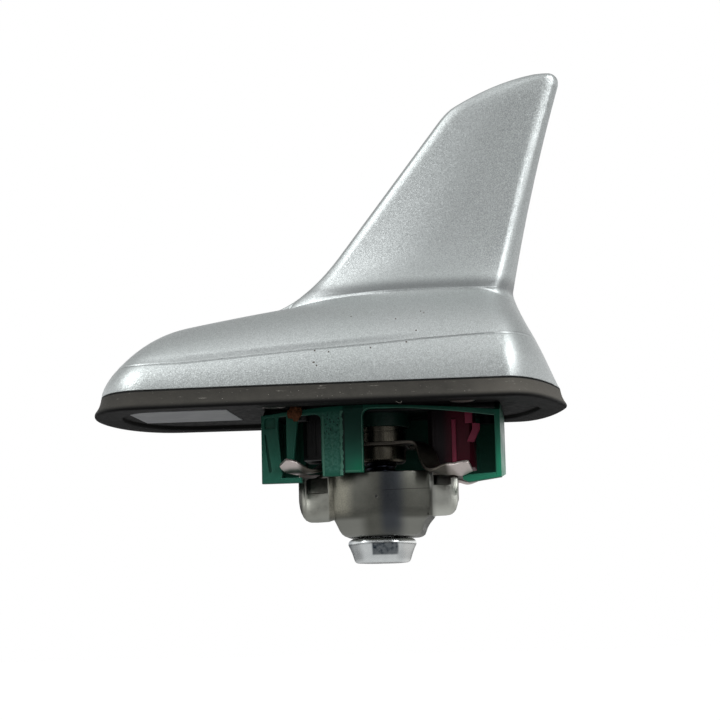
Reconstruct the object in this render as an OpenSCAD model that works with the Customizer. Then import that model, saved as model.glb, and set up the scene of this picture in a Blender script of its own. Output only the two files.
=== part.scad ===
// Shark fin roof aerial: painted cover with a fin, rubber foot seal, base plate with its
// electronics, and the clamp and plug frame that hang through the roof opening.
// The origin is on the roof surface at the clamp bolt's axis. +Z is up, +X runs to the tail.

/* [Footprint] */
// Reach of the seal's nose ahead of the clamp bolt's axis
nose_reach = 71.4; // [69:0.2:78]
// Reach of the seal's tail behind the clamp bolt's axis
tail_reach = 47; // [46:0.5:54]
// Overall width of the seal
foot_w = 60; // [56:0.5:68]
// Station of the widest place, behind the bolt's axis
wide_at = 8; // [4:0.5:12]

/* [Seal] */
// Height of the seal from the roof to the cover's edge
seal_h = 4.9; // [4.5:0.1:6]
// How far the seal's foot flares out past the cover
seal_flare = 1.6; // [1:0.1:2.5]
// Width of the seal's foot ring on the roof
foot_ring_w = 6.5; // [6:0.1:8]
// Thickness of the foot ring
foot_ring_t = 1.0; // [0.8:0.1:1.4]
// Thickness of the seal's upright wall
seal_wall = 2.6; // [2.3:0.1:3]

/* [Cover] */
// Wall thickness of the cover
cover_wall = 2.2; // [1.8:0.1:2.6]
// Height of the shoulders above the roof, at the fin's root
shoulder_z = 30.4; // [28:0.2:34]
// Height of the nose's brow above the roof
brow_z = 20.6; // [19:0.2:23]
// Height of the fin's tip above the roof
tip_z = 85.7; // [80:0.5:95]
// Lean of the fin's leading edge from the vertical, in degrees
lead_lean = 37.8; // [35:0.2:41]
// Half the fin's thickness at its root
fin_root_half = 8.2; // [7:0.1:9]
// Half the fin's thickness near its tip
fin_tip_half = 2.9; // [2.5:0.1:3.5]

/* [Base] */
// Thickness of the base plate
plate_t = 2.5; // [2:0.1:3]
// Radius of the clamp boss
boss_r = 6.5; // [6:0.1:7]
// Depth of the clamp boss below the roof surface
boss_drop = 12.6; // [11:0.1:14]
// Radius of the clamp bolt's shank
bolt_r = 4; // [3.5:0.05:4.2]
// Running clearance of the bolt in its boss
bolt_gap = 0.05; // [0.03:0.01:0.1]
// Radius of a cover screw's head
screw_head_r = 3.4; // [3:0.1:3.8]

/* [Plug frame] */
// Reach of the plug frame ahead of the bolt's axis
frame_front = 27.8; // [27:0.2:30]
// Reach of the plug frame behind the bolt's axis
frame_back = 30.8; // [30:0.2:33]
// Width of the plug frame
frame_w = 29; // [28:0.25:31]
// Depth of the plug frame below the roof surface
frame_drop = 17.7; // [17:0.1:20]
// Wall thickness of the plug frame
frame_wall = 1.6; // [1.3:0.1:1.8]
// Outer width of a plug socket
socket_w = 11.4; // [10.6:0.1:11.6]
// Radius of a plug socket's bore
socket_bore_r = 4.4; // [4.1:0.1:4.6]
// Depth of the black socket's mouth below the roof surface
black_drop = 11.6; // [11:0.1:13]
// Depth of the red socket's mouth below the roof surface
red_drop = 14.6; // [13.5:0.1:15.5]

/* [Clamp] */
// Thickness of the claw's spring steel
claw_t = 0.9; // [0.7:0.05:1]
// Width of a claw's arm
arm_w = 4.9; // [4.4:0.1:5]
// Half the width of the clamp cup's barrel
cup_r = 12.4; // [12:0.1:12.6]
// Half the depth of the clamp cup's barrel, across the car
cup_d = 12.4; // [11.8:0.1:12.5]
// Sheet thickness of the clamp cup
cup_t = 1.2; // [1:0.1:1.4]
// Height of the clamp cup
cup_h = 15.6; // [15:0.2:17]
// Half the width of the cup over its ears
ear_reach = 19.3; // [19:0.1:21]
// Lean of the loose cup to one side, in degrees
cup_lean = 1; // [0:0.1:3]
// Width of the bolt's hexagon head across its corners
head_corners = 17.4; // [16.4:0.1:18]
// Height of the bolt's head
head_h = 5.9; // [5:0.1:6.5]

/* [Electronics] */
// Thickness of a circuit board
board_t = 1.6; // [1.2:0.1:1.8]
// Height of the main board above the roof surface
board_z = 8.4; // [8:0.1:9]
// Width of the square ceramic aerial
patch_w = 25; // [20:0.5:26]
// Thickness of the ceramic aerial
patch_t = 4; // [3:0.1:5]

/* [Hidden] */

seat_gap = 0.05;
skin = 0.01;
round_fn = 48;

plate_z = foot_ring_t;
plate_top = plate_z + plate_t;
cover_z = seal_h;
cover_inset = seal_flare;
seal_in_inset = cover_inset + seal_wall;
plate_inset = seal_in_inset + 0.2;

outline_steps = 40;
nose_len = 16;
nose_power = 2.5;
nose_taper = 0.08;
tail_len = 13;
tail_power = 2.2;
tail_fullness = 0.85;

function clamp01(t) = min(1, max(0, t));
function mix(a, b, t) = a + (b - a) * t;
function smooth_max(a, b, k) =
    let (h = clamp01(0.5 + (a - b) / (2 * k))) mix(b, a, h) + k * h * (1 - h);
function smooth_min(a, b, k) = -smooth_max(-a, -b, k);
function flip(list) = [for (i = [len(list) - 1 : -1 : 0]) list[i]];

// Half the footprint's width at station x, drawn in by an inset
function foot_half(x, inset) =
    let (half = foot_w / 2 - inset,
         slim = 1 - nose_taper * pow(clamp01((wide_at - x) / (wide_at + nose_reach)), 2),
         from_nose = clamp01((x + nose_reach - inset) / nose_len),
         from_tail = clamp01((tail_reach - inset - x) / tail_len))
    half * slim * sqrt(1 - pow(1 - from_nose, nose_power))
         * pow(1 - pow(1 - from_tail, tail_power), tail_fullness);

// Stations from nose to tail that crowd together at both ends
function station(x0, x1, i, n) = x0 + (x1 - x0) * (1 - cos(180 * i / n)) / 2;

function foot_outline(inset) =
    let (x0 = inset - nose_reach, x1 = tail_reach - inset, n = outline_steps,
         xs = [for (i = [0 : n]) station(x0, x1, i, n)],
         near = [for (i = [0 : n]) [xs[i], -foot_half(xs[i], inset)]],
         far = [for (i = [n - 1 : -1 : 1]) [xs[i], foot_half(xs[i], inset)]])
    concat(near, far);

module foot_layer(inset, z, h) {
    translate([0, 0, z]) linear_extrude(h) polygon(foot_outline(inset));
}

module foot_ring(outer, inner, z, h) {
    translate([0, 0, z]) linear_extrude(h) difference() {
        polygon(foot_outline(outer));
        polygon(foot_outline(inner));
    }
}

// Solid skin over a stack of closed rings of equal length, capped at both ends
module lofted(rings) {
    n = len(rings[0]);
    m = len(rings);
    points = [for (ring = rings) for (p = ring) p];
    sides = [for (j = [0 : m - 2]) for (i = [0 : n - 1]) for (half = [0, 1])
        let (a = j * n + i, b = j * n + (i + 1) % n, c = a + n, d = b + n)
        half == 0 ? [a, c, b] : [b, c, d]];
    caps = [[for (i = [0 : n - 1]) i], [for (i = [n - 1 : -1 : 0]) (m - 1) * n + i]];
    polyhedron(points, concat(sides, caps), convexity = 8);
}

// Skin over rings that close on themselves, as round a tube
module looped(rings) {
    n = len(rings[0]);
    m = len(rings);
    points = [for (ring = rings) for (p = ring) p];
    sides = [for (j = [0 : m - 1]) for (i = [0 : n - 1]) for (half = [0, 1])
        let (k = (j + 1) % m, a = j * n + i, b = j * n + (i + 1) % n,
             c = k * n + i, d = k * n + (i + 1) % n)
        half == 0 ? [a, c, b] : [b, c, d]];
    polyhedron(points, sides, convexity = 8);
}

function at_height(outline, z) = [for (p = outline) [p[0], p[1], z]];

// The cover's outer skin, drawn in by an offset for the inner one
body_start = -62;
body_run = 84;
nose_turn = -46;
nose_round = 0.9;
tail_turn = 22;
tail_round = 1.2;
tail_full = 2.9;
side_full = 2.2;
lead_x = -5.9;
lead_z = 44.9;
tip_x = 44.6;
crest_power = 1.75;
crest_drop = 0.030;
trail_x = 35.4;
trail_z = 33.8;
trail_rise = 0.2;
trail_bow = 0.00109;
tip_corner = 3.6;
root_blend = 5;
root_sweep = 12;
rear_sweep = 6;
edge_r = 3;
fin_belly = 0.6;

function brow_line(x) =
    brow_z + (shoulder_z - brow_z) * sin(90 * clamp01((x - body_start) / body_run));
function nose_fade(x, o) =
    pow(1 - pow(clamp01((nose_turn - x) / (nose_turn + nose_reach - cover_inset - o)), 2.5),
        nose_round);
function tail_fade(x, o) =
    pow(1 - pow(clamp01((x - tail_turn) / (tail_reach - cover_inset - o - tail_turn)), tail_full),
        tail_round);
function body_top(x, o) =
    cover_z + (brow_line(x) - o - cover_z) * nose_fade(x, o) * tail_fade(x, o);

function lead_height(x, o) = lead_z + (x - lead_x) / tan(lead_lean) - o / sin(lead_lean);
function crest_height(x, o) =
    tip_z - o - crest_drop * pow(max(0, tip_x - x), crest_power);
function fin_height(x, o) = smooth_min(lead_height(x, o), crest_height(x, o), 1.5);
function front_height(x, o) = smooth_max(body_top(x, o), fin_height(x, o), root_sweep);
function lead_at(z, o) = lead_x + (z + o / sin(lead_lean) - lead_z) * tan(lead_lean);

function trail_at(z) = trail_x + trail_rise * (z - trail_z) + trail_bow * pow(z - trail_z, 2);
function tip_cut(z, o) =
    let (up = max(0, z - (tip_z - o - tip_corner)))
    tip_corner - sqrt(max(0, tip_corner * tip_corner - up * up));
function tail_at(z, o) =
    let (full = clamp01((z - cover_z) / (shoulder_z - o - cover_z)))
    tail_turn + (tail_reach - cover_inset - o - tail_turn)
        * pow(1 - pow(full, 1 / tail_round), 1 / tail_full);
function rear_at(z, o) =
    smooth_max(tail_at(z, o), trail_at(z) - o - tip_cut(z, o), rear_sweep * clamp01((z - cover_z) / 12) + skin);

function rounding(q) = q >= 1 ? 1 : sqrt(max(0, 1 - (1 - q) * (1 - q)));

function body_half(x, z, o) =
    let (rise = clamp01((z - cover_z) / max(skin, body_top(x, o) - cover_z)))
    foot_half(x, cover_inset + o) * sqrt(1 - pow(rise, side_full));

function fin_half(x, z, o, x0, x1, steep) =
    let (t = clamp01((z - shoulder_z) / (tip_z - shoulder_z - edge_r)),
         most = fin_tip_half + (fin_root_half - fin_tip_half) * pow(1 - t, 1.3) - o,
         u = clamp01((x - x0) / max(skin, x1 - x0)),
         belly = 0.5 + 0.5 * sin(90 * min(1, u / fin_belly)))
    most * belly * rounding(max(0, (x - x0) * steep / edge_r)) * rounding(max(0, (x1 - x) / edge_r));

function cover_half(x, z, o, x0, x1, steep) =
    let (lead = mix(lead_at(z, o), x0, clamp01((z - 24) / 7)),
         end = rounding((x - x0) / 1.5) * rounding((x1 - x) / 1.5),
         blend = root_blend * clamp01((z - cover_z) / 6) + skin)
    smooth_max(body_half(x, z, o), fin_half(x, z, o, lead, x1, steep), blend) * end;

// Ring of the cover at the height of its front profile's station x0
function cover_ring(x0, o, n) =
    let (z = front_height(x0, o), x1 = rear_at(z, o),
         slope = (front_height(x0 + 0.4, o) - front_height(x0 - 0.4, o)) / 0.8,
         steep = slope / sqrt(1 + slope * slope),
         xs = [for (i = [0 : n]) station(x0, x1, i, n)],
         near = [for (i = [0 : n]) [xs[i], i % n == 0 ? 0 : -cover_half(xs[i], z, o, x0, x1, steep), z]],
         far = [for (i = [n - 1 : -1 : 1]) [xs[i], cover_half(xs[i], z, o, x0, x1, steep), z]])
    concat(near, far);

// The cover's lowest ring follows the footprint itself
function rim_ring(o, n) =
    let (x0 = cover_inset + o - nose_reach, x1 = tail_reach - cover_inset - o,
         xs = [for (i = [0 : n]) station(x0, x1, i, n)],
         near = [for (i = [0 : n]) [xs[i], -foot_half(xs[i], cover_inset + o), cover_z]],
         far = [for (i = [n - 1 : -1 : 1]) [xs[i], foot_half(xs[i], cover_inset + o), cover_z]])
    concat(near, far);

// Stations of the front profile: nose, brow, leading edge and crest
function front_stations(o, top, shoulder_steps) =
    let (x0 = cover_inset + o - nose_reach)
    concat([for (i = [1 : 9]) x0 + (nose_turn + 2 - x0) * (1 - cos(90 * i / 9))],
           [for (i = [1 : 4]) mix(nose_turn + 2, -30, i / 4)],
           [for (i = [1 : shoulder_steps]) mix(-30, -17, i / shoulder_steps)],
           [for (i = [1 : 8]) mix(-17, top, i / 8)]);
crest_start = 14;
crest_stations = [for (i = [1 : 11]) mix(crest_start, tip_x - 0.6, i / 11)];
hollow_end = 8;
ring_steps = 32;

outer_rings = concat([rim_ring(0, ring_steps)],
    [for (x = concat(front_stations(0, crest_start, 16), crest_stations)) cover_ring(x, 0, ring_steps)]);
inner_rings = concat([rim_ring(cover_wall, ring_steps)],
    [for (x = front_stations(cover_wall, hollow_end, 6)) cover_ring(x, cover_wall, ring_steps)]);

// Cover screws: two ahead of the bolt and two behind it
screw_x = [-24, tail_reach - 25];
screw_edge = [6.27, 7.3];
screw_y = [for (i = [0, 1]) foot_half(screw_x[i], plate_inset) - screw_edge[i]];
screw_places = [for (i = [0, 1]) for (side = [-1, 1]) [screw_x[i], side * screw_y[i]]];
screw_r = 1.5;
cover_boss_r = 3;
// Height of the middle of the cover's wall above station x, at a distance y from the middle
function wall_height(x, y) =
    let (o = cover_wall / 2, share = y / foot_half(x, cover_inset + o))
    cover_z + (body_top(x, o) - cover_z) * pow(1 - share * share, 1 / side_full);
cover_boss_top = [for (i = [0, 1]) wall_height(screw_x[i], screw_y[i] + cover_boss_r)];

module cover() {
    color("silver") union() {
        lofted(concat(flip(inner_rings), outer_rings));
        for (i = [0, 1]) for (side = [-1, 1])
            translate([screw_x[i], side * screw_y[i], cover_z]) difference() {
                cylinder(r = cover_boss_r, h = cover_boss_top[i] - cover_z, $fn = round_fn);
                translate([0, 0, -skin])
                    cylinder(r = screw_r + seat_gap, h = 8, $fn = round_fn);
            }
    }
}

module base_seal() {
    wall_foot = foot_ring_t - 0.2;
    color([0.2, 0.19, 0.18]) union() {
        foot_ring(0, foot_ring_w, 0, foot_ring_t);
        looped([at_height(foot_outline(seal_in_inset), wall_foot),
                at_height(foot_outline(0.25), wall_foot),
                at_height(foot_outline(cover_inset * 0.75), mix(wall_foot, seal_h, 0.55)),
                at_height(foot_outline(cover_inset), seal_h),
                at_height(foot_outline(seal_in_inset), seal_h)]);
    }
}

gasket_w = 1.6;
module cover_gasket() {
    color([0.12, 0.12, 0.12])
        foot_ring(plate_inset + 0.3, plate_inset + 0.3 + gasket_w, plate_top, seal_h + 0.6 - plate_top);
}

// Places of the two plug sockets
black_x = -13;
red_x = 18.2;
socket_y = 0;
socket_top = plate_z;
port_r = 3.6;

// Posts that carry the main board
post_x = [-48, tail_reach - 17];
post_y = [foot_w / 2 - 15, foot_w / 2 - 18];
post_places = [for (i = [0, 1]) for (side = [-1, 1]) [post_x[i], side * post_y[i]]];
post_r = 2.6;
board_screw_r = 1.1;

spigot_r = 5;
module base_plate() {
    color([0.1, 0.1, 0.1]) difference() {
        union() {
            foot_layer(plate_inset, plate_z, plate_t);
            for (p = post_places)
                translate([p[0], p[1], plate_top - skin])
                    cylinder(r = post_r, h = board_z - plate_top + skin, $fn = round_fn);
        }
        translate([0, 0, -1]) cylinder(r = spigot_r + seat_gap, h = 10, $fn = round_fn);
        for (x = [black_x, red_x])
            translate([x, socket_y, 0]) cylinder(r = port_r + seat_gap, h = 10, $fn = round_fn);
        for (p = screw_places) translate([p[0], p[1], 0]) {
            cylinder(r = screw_r + 0.15, h = 10, $fn = round_fn);
            cylinder(r = screw_head_r + 0.2, h = plate_z + head_sink, $fn = round_fn);
        }
        for (p = post_places)
            translate([p[0], p[1], board_z - 3.5])
                cylinder(r = board_screw_r + seat_gap, h = 5, $fn = round_fn);
        for (p = frame_screw_places)
            translate([p[0], p[1], 0]) cylinder(r = frame_screw_r + seat_gap, h = plate_z + 1.8, $fn = round_fn);
    }
}

// Turned boss: shoulder under the plate, groove for the claw, and the bolt's bore
groove_z = -8.6;
boss_bore_top = plate_top + 1;
module clamp_boss() {
    color([0.5, 0.47, 0.42]) difference() {
        rotate_extrude($fn = round_fn) polygon([
            [0, -boss_drop], [boss_r - 1, -boss_drop], [boss_r - 0.3, -boss_drop + 0.3],
            [boss_r, -boss_drop + 1], [boss_r, groove_z], [boss_r - 0.9, groove_z],
            [boss_r - 0.9, groove_z + claw_t + 2 * seat_gap], [boss_r, groove_z + claw_t + 2 * seat_gap],
            [boss_r, plate_z - seat_gap], [spigot_r, plate_z - seat_gap], [spigot_r, plate_top + 0.05],
            [spigot_r + 1.2, plate_top + 0.05], [spigot_r + 0.6, plate_top + 1.8], [0, plate_top + 1.8]]);
        translate([0, 0, -boss_drop - 1])
            cylinder(r = bolt_r, h = boss_bore_top + boss_drop + 1, $fn = round_fn);
    }
}

label_x = [-nose_reach + 9.9, -frame_front - 8.7];
label_y = [-foot_w / 2 + 16, foot_w / 2 - 20.2];
label_t = 0.15;
module blank_label() {
    color("white") translate([label_x[0], label_y[0], plate_z - label_t])
        cube([label_x[1] - label_x[0], label_y[1] - label_y[0], label_t]);
}

// Plug frame: long walls with windows, end blocks with latches, floors under both ends
frame_top = plate_z;
frame_y = frame_w / 2;
far_y = frame_y - 0.3;
far_drop = frame_drop - 2.7;
flange = 3;
rib_drop = 12.6;
bar_top = 16.4;
pillar_x = [-12.7, -7.4];
pillar_drop = 15.6;
panel_x = -2.7;
window_x = [-19.9, -13];
slot_x = [-23.6, -21.6];
frame_screw_r = 1.2;
frame_screw_places = [[-18.2, -frame_y + 3.9], [26.6, far_y - 4]];

// The far long wall, drawn in X and Z: closed, with a passage for the claw's toe at each end
nose_passage = [-23.6, -12.9, 2.3];
tail_passage = [9.5, 22.4, 3.8];
module far_wall_face() {
    difference() {
        translate([-frame_front, -far_drop]) square([frame_front + frame_back, far_drop + frame_top]);
        for (gap = [nose_passage, tail_passage])
            translate([gap[0], -far_drop - 1]) square([gap[1] - gap[0], gap[2] + 1]);
    }
}

// The near long wall, with its rib, window, pillar and panel
module near_wall_face() {
    difference() {
        translate([-frame_front, -frame_drop]) square([frame_front + frame_back, frame_drop + frame_top]);
        // slot beside the latch, and the opening below the rib where a claw's toe passes
        translate([slot_x[0], -rib_drop]) square([slot_x[1] - slot_x[0], rib_drop - 0.4]);
        translate([slot_x[0], -bar_top]) square([pillar_x[0] - slot_x[0], bar_top - rib_drop + skin]);
        // window beside the pillar, with one rounded corner
        difference() {
            translate([window_x[0], -rib_drop]) square([window_x[1] - window_x[0], rib_drop - 1]);
            translate([window_x[1] - 1.6, -2.6]) difference() {
                square([2, 2]);
                circle(r = 1.6, $fn = 32);
            }
        }
        // clear span from the panel to the tail end, under an arched beam
        polygon(concat([[panel_x, -0.9], [panel_x + 1.4, -0.1]],
            [for (i = [0 : 6]) [mix(7.5, frame_back - 1.4, i / 6), mix(-0.1, -2.6, pow(i / 6, 1.3))]],
            [[frame_back - 1.4, -frame_drop - 1], [panel_x, -frame_drop - 1]]));
        // the cup's ears and barrel stand clear of the wall's lower edge
        translate([-18, -frame_drop - 1]) square([10.6, frame_drop + 1 - bar_top]);
        translate([-8, -frame_drop - 1]) square([10, frame_drop + 1 - pillar_drop]);
    }
}

latch_top = 3.7;
latch_foot = 15.4;

// Places of the two long walls' inner faces, and what lies between them
wall_inner = [-frame_y + frame_wall, far_y - frame_wall];
function inward(side, depth) = side == 0 ? wall_inner[0] : wall_inner[1] - depth;

module end_wall(x, t) {
    translate([x, 0, 0]) rotate([90, 0, 90]) linear_extrude(t) polygon([
        [-frame_y, frame_top], [far_y, frame_top], [far_y, -far_drop],
        [-frame_y + flange, -frame_drop], [-frame_y, -frame_drop]]);
}

module plug_frame() {
    color([0.05, 0.32, 0.22]) difference() {
        union() {
            translate([0, wall_inner[0], 0]) rotate([90, 0, 0]) linear_extrude(frame_wall) near_wall_face();
            translate([0, far_y, 0]) rotate([90, 0, 0]) linear_extrude(frame_wall) far_wall_face();
            end_wall(-frame_front, frame_wall);
            end_wall(frame_back - 1.4, 1.4);
            // flat ceiling against the base plate
            translate([-frame_front, -frame_y, frame_top - 1.2])
                cube([frame_front + frame_back, frame_y + far_y, 1.2]);
            // inner returns that stiffen the pillar and close the rib's slot
            for (side = [0, 1]) {
                translate([slot_x[1], inward(side, 3), -rib_drop]) cube([1.4, 3, rib_drop + 0.5]);
                if (side == 0)
                    translate([pillar_x[0] + 0.2, inward(side, 0.8), -far_drop]) cube([5.2, 0.8, far_drop + 0.4]);
            }
            // flanges under the near wall at the nose end and the tail end
            translate([-frame_front, -frame_y, -frame_drop]) cube([9.6, flange, 1.2]);
            translate([0, -frame_y + flange, 0]) rotate([90, 0, 0]) linear_extrude(flange) polygon([
                [21.4, -frame_drop - 0.4], [22.8, -frame_drop - 1.1], [frame_back, -frame_drop],
                [frame_back, -frame_drop + 1.2], [21.4, -frame_drop + 0.7]]);
        }
        // recess and latch clearance in the nose end block
        for (y0 = [-frame_y - 1, far_y - 0.9]) {
            translate([-frame_front + 1.4, y0, -4.1]) cube([3.4, 1.9, 2.9]);
            translate([0, y0 + 1.9, 0]) rotate([90, 0, 0]) linear_extrude(1.9) polygon([
                [-frame_front + 0.7, -latch_top - 1.6], [-frame_front + 1.4, -latch_top - 1.6],
                [-frame_front + 2.6, -latch_foot + 0.6], [-frame_front + 1.6, -latch_foot + 0.6]]);
        }
        // openings in the ceiling for the boss, both sockets and the frame's screws
        translate([0, 0, -1]) cylinder(r = boss_r + 0.4, h = 3, $fn = round_fn);
        for (x = [black_x, red_x])
            translate([x, socket_y, -1]) linear_extrude(3)
                square(socket_w + 2 * seat_gap, center = true);
        for (p = frame_screw_places)
            translate([p[0], p[1], -1]) cylinder(r = frame_screw_r + 0.1, h = 3, $fn = round_fn);
    }
}

// Plug socket: square housing with a round bore, a keying rib and a latch tooth
tooth_drop = [5.2, 9.4];
module socket(x, drop, keyed) {
    translate([x, socket_y, 0]) difference() {
        union() {
            translate([0, 0, -drop]) linear_extrude(drop + socket_top - seat_gap) difference() {
                square(socket_w, center = true);
                for (sx = [-1, 1]) for (sy = [-1, 1])
                    translate([sx * socket_w / 2, sy * socket_w / 2]) rotate(45) square(1.6, center = true);
            }
            translate([0, 0, -skin]) cylinder(r = port_r, h = plate_top + skin, $fn = round_fn);
            if (keyed) {
                translate([0.2, -socket_w / 2 - 0.7, -drop + 0.5]) cube([1.2, 0.8, drop - 3]);
                translate([3.6, -socket_w / 2 - 0.9, -3.6]) cube([1.9, 1, 2.8]);
                translate([0, -socket_w / 2 + 0.2, 0]) rotate([90, 0, 0]) linear_extrude(1.8) polygon([
                    [socket_w / 2 - 1.9, -4.4], [socket_w / 2 + 1.7, -tooth_drop[0]],
                    [socket_w / 2 + 0.2, -tooth_drop[1]], [socket_w / 2 - 1.7, -tooth_drop[1] + 0.6]]);
            }
        }
        translate([0, 0, -drop - 1]) cylinder(r = socket_bore_r, h = drop + 0.2, $fn = round_fn);
        translate([0, 0, -drop - 1]) cylinder(r = insulator_r + 2 * seat_gap, h = drop + 12, $fn = round_fn);
    }
}
module black_socket() { color([0.05, 0.05, 0.05]) socket(black_x, black_drop, false); }
module red_socket() { color([0.36, 0.08, 0.16]) socket(red_x, red_drop, true); }

// Coaxial contact set inside a socket
insulator_r = 1.9;
shell_r = 2.5;
pin_r = 0.4;
mouth_clear = 5.2;
module outer_contact(x, drop) {
    translate([x, socket_y, 0]) difference() {
        union() {
            translate([0, 0, -drop + mouth_clear]) cylinder(r = shell_r, h = drop - mouth_clear - 0.8 - seat_gap, $fn = round_fn);
        }
        translate([0, 0, -drop]) cylinder(r = insulator_r + seat_gap / 2, h = drop + 2, $fn = round_fn);
    }
}
module insulator(x, drop) {
    translate([x, socket_y, 0]) difference() {
        translate([0, 0, -drop + mouth_clear + 2]) cylinder(r = insulator_r, h = drop - mouth_clear - 2 + plate_top, $fn = round_fn);
        translate([0, 0, -drop]) cylinder(r = pin_r + seat_gap / 2, h = drop + plate_top + 2, $fn = round_fn);
    }
}
module centre_pin(x, drop) {
    translate([x, socket_y, -drop + mouth_clear + 0.4])
        cylinder(r = pin_r, h = drop - mouth_clear - 0.4 + board_z + board_t + 0.4, $fn = round_fn);
}
module black_outer_contact() { color("gold") outer_contact(black_x, black_drop); }
module red_outer_contact() { color("gold") outer_contact(red_x, red_drop); }
module black_insulator() { color("ivory") insulator(black_x, black_drop); }
module red_insulator() { color("ivory") insulator(red_x, red_drop); }
module black_centre_pin() { color("goldenrod") centre_pin(black_x, black_drop); }
module red_centre_pin() { color("goldenrod") centre_pin(red_x, red_drop); }

// Claw: a plate clipped in the boss's groove and four arms with flared toes.
// Each route holds a place and the strip's roll, in degrees
claw_z = groove_z + seat_gap;
nose_route = [[4.4, -7.3, 0.45, 0], [7, -8.2, 0.3, 0], [9.2, -8.7, -0.5, 0], [11, -8.9, -2.05, 0],
              [12.6, -9.1, -3.95, 0], [14.2, -10, -5.5, 0], [15.8, -11.4, -6.3, 2], [17.5, -13, -6.4, 6],
              [19.2, -14.6, -5.8, 16], [20.9, -16.1, -5, 28], [22.2, -17, -4.3, 32]];
tail_route = [[4.6, -6.9, 0.45, 0], [7.6, -7.1, 0.5, 0], [9.9, -7.6, 0.25, 0], [11.4, -8.5, -0.7, 0],
              [12.3, -9.6, -2.3, 0], [13, -10.8, -4.2, 0], [13.8, -12, -6.1, 0], [14.8, -13.1, -7.2, 6],
              [16.2, -14.2, -7.4, 12], [18.2, -15.3, -7, 24], [20.2, -16.2, -6.1, 32], [21.6, -16.7, -5.3, 34],
              [22.5, -16.9, -4.8, 34]];

function unit(v) = v / norm(v);
function place(p) = [p[0], p[1], p[2]];
// Four corners of the strip at each point of its route
function strip_ring(route, i) =
    let (n = len(route) - 1, a = place(route[max(0, i - 1)]), b = place(route[min(n, i + 1)]),
         along = unit(b - a), level = unit([-(b - a)[1], (b - a)[0], 0]), over = cross(along, level),
         roll = route[i][3], side = level * cos(roll) - over * sin(roll), up = cross(along, side),
         taper = i == n ? 0.55 : (i == n - 1 ? 0.85 : 1), p = place(route[i]),
         w = side * arm_w / 2 * taper, t = up * claw_t / 2)
    [p - w - t, p + w - t, p + w + t, p - w + t];

module claw_arm(route) {
    lofted([for (i = [0 : len(route) - 1]) strip_ring(route, i)]);
}

module claw_spring() {
    color([0.62, 0.58, 0.55]) translate([0, 0, claw_z]) union() {
        linear_extrude(claw_t) difference() {
            union() {
                for (side = [-1, 1]) translate([0, side * 5.6]) square([10, 5.4], center = true);
                intersection() {
                    circle(r = boss_r + 2.4, $fn = round_fn);
                    square([2 * boss_r + 1.2, 20], center = true);
                }
            }
            circle(r = boss_r - 0.9 + seat_gap, $fn = round_fn);
        }
        for (sx = [-1, 1]) for (sy = [0, 1])
            mirror([sx < 0 ? 1 : 0, 0, 0]) mirror([0, sy, 0]) claw_arm(sx < 0 ? nose_route : tail_route);
    }
}

// Clamp cup: a barrel open to both ends, with ears on its near and far walls
cup_floor_z = -30.9;
cup_rim_z = cup_floor_z + cup_h;
ear_y = 8.8;
cup_shift = 0.2;
foot_shift = -1;
ear_shift = -0.6;
ear_gap = 6.9;
cup_foot_r = 9.4;
cup_cone_z = cup_floor_z + 4.4;
cup_hole_r = bolt_r + 1.4;
ear_foot = cup_floor_z + 4;
ear_rise = 2.2;
ear_corner = 2.4;
ear_notch = [[-17.1, -12.1, 4.2], [14.3, 18.2, 2.2]];

// One ear with its barrel's width cut out later; the near one has notches for the claw
module ear_face(near) {
    top = near ? cup_rim_z - 1 : cup_rim_z + 0.3;
    difference() {
        intersection() {
            polygon([[-ear_reach + 0.3, top], [ear_reach, top], [ear_reach, ear_foot + 6.5],
                     [ear_reach - 1, ear_foot + ear_rise], [-ear_reach + 1.6, ear_foot], [-ear_reach + 0.3, ear_foot + 6.5]]);
            translate([-ear_reach, 0]) union() {
                translate([0, ear_foot + ear_rise + ear_corner]) square([2 * ear_reach, cup_h]);
                translate([ear_corner + 1, ear_foot]) square([ear_reach, cup_h]);
                translate([ear_reach, ear_foot + ear_rise]) square([ear_reach - ear_corner - 0.6, cup_h]);
                translate([ear_corner + 1, ear_foot + ear_corner]) circle(r = ear_corner, $fn = round_fn);
                translate([0.6, ear_foot + ear_corner]) square([2 * ear_corner, ear_rise]);
                translate([2 * ear_reach - ear_corner - 0.6, ear_foot + ear_rise + ear_corner])
                    circle(r = ear_corner, $fn = round_fn);
            }
        }
        if (near) for (notch = ear_notch)
            translate([notch[0], cup_rim_z - 1 - notch[2]]) square([notch[1] - notch[0], notch[2] + 1]);
    }
}

// Outline of the barrel: straight sides and a bowed near and far face
cup_steps = 14;
function cup_outline(w, d, bow) =
    let (xs = [for (i = [0 : cup_steps]) mix(-w, w, i / cup_steps)])
    concat([for (x = xs) [x, -d - bow * (1 - pow(x / w, 2))]],
           [for (x = flip(xs)) [x, d + bow * (1 - pow(x / w, 2))]]);
// Barrel and tapered foot as one solid, from a half width, side depth, bow, height and shift
module cup_solid(levels) {
    lofted([for (level = levels) [for (p = cup_outline(level[0], level[1], level[2])) [p[0] + level[4], p[1], level[3]]]]);
}

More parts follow.
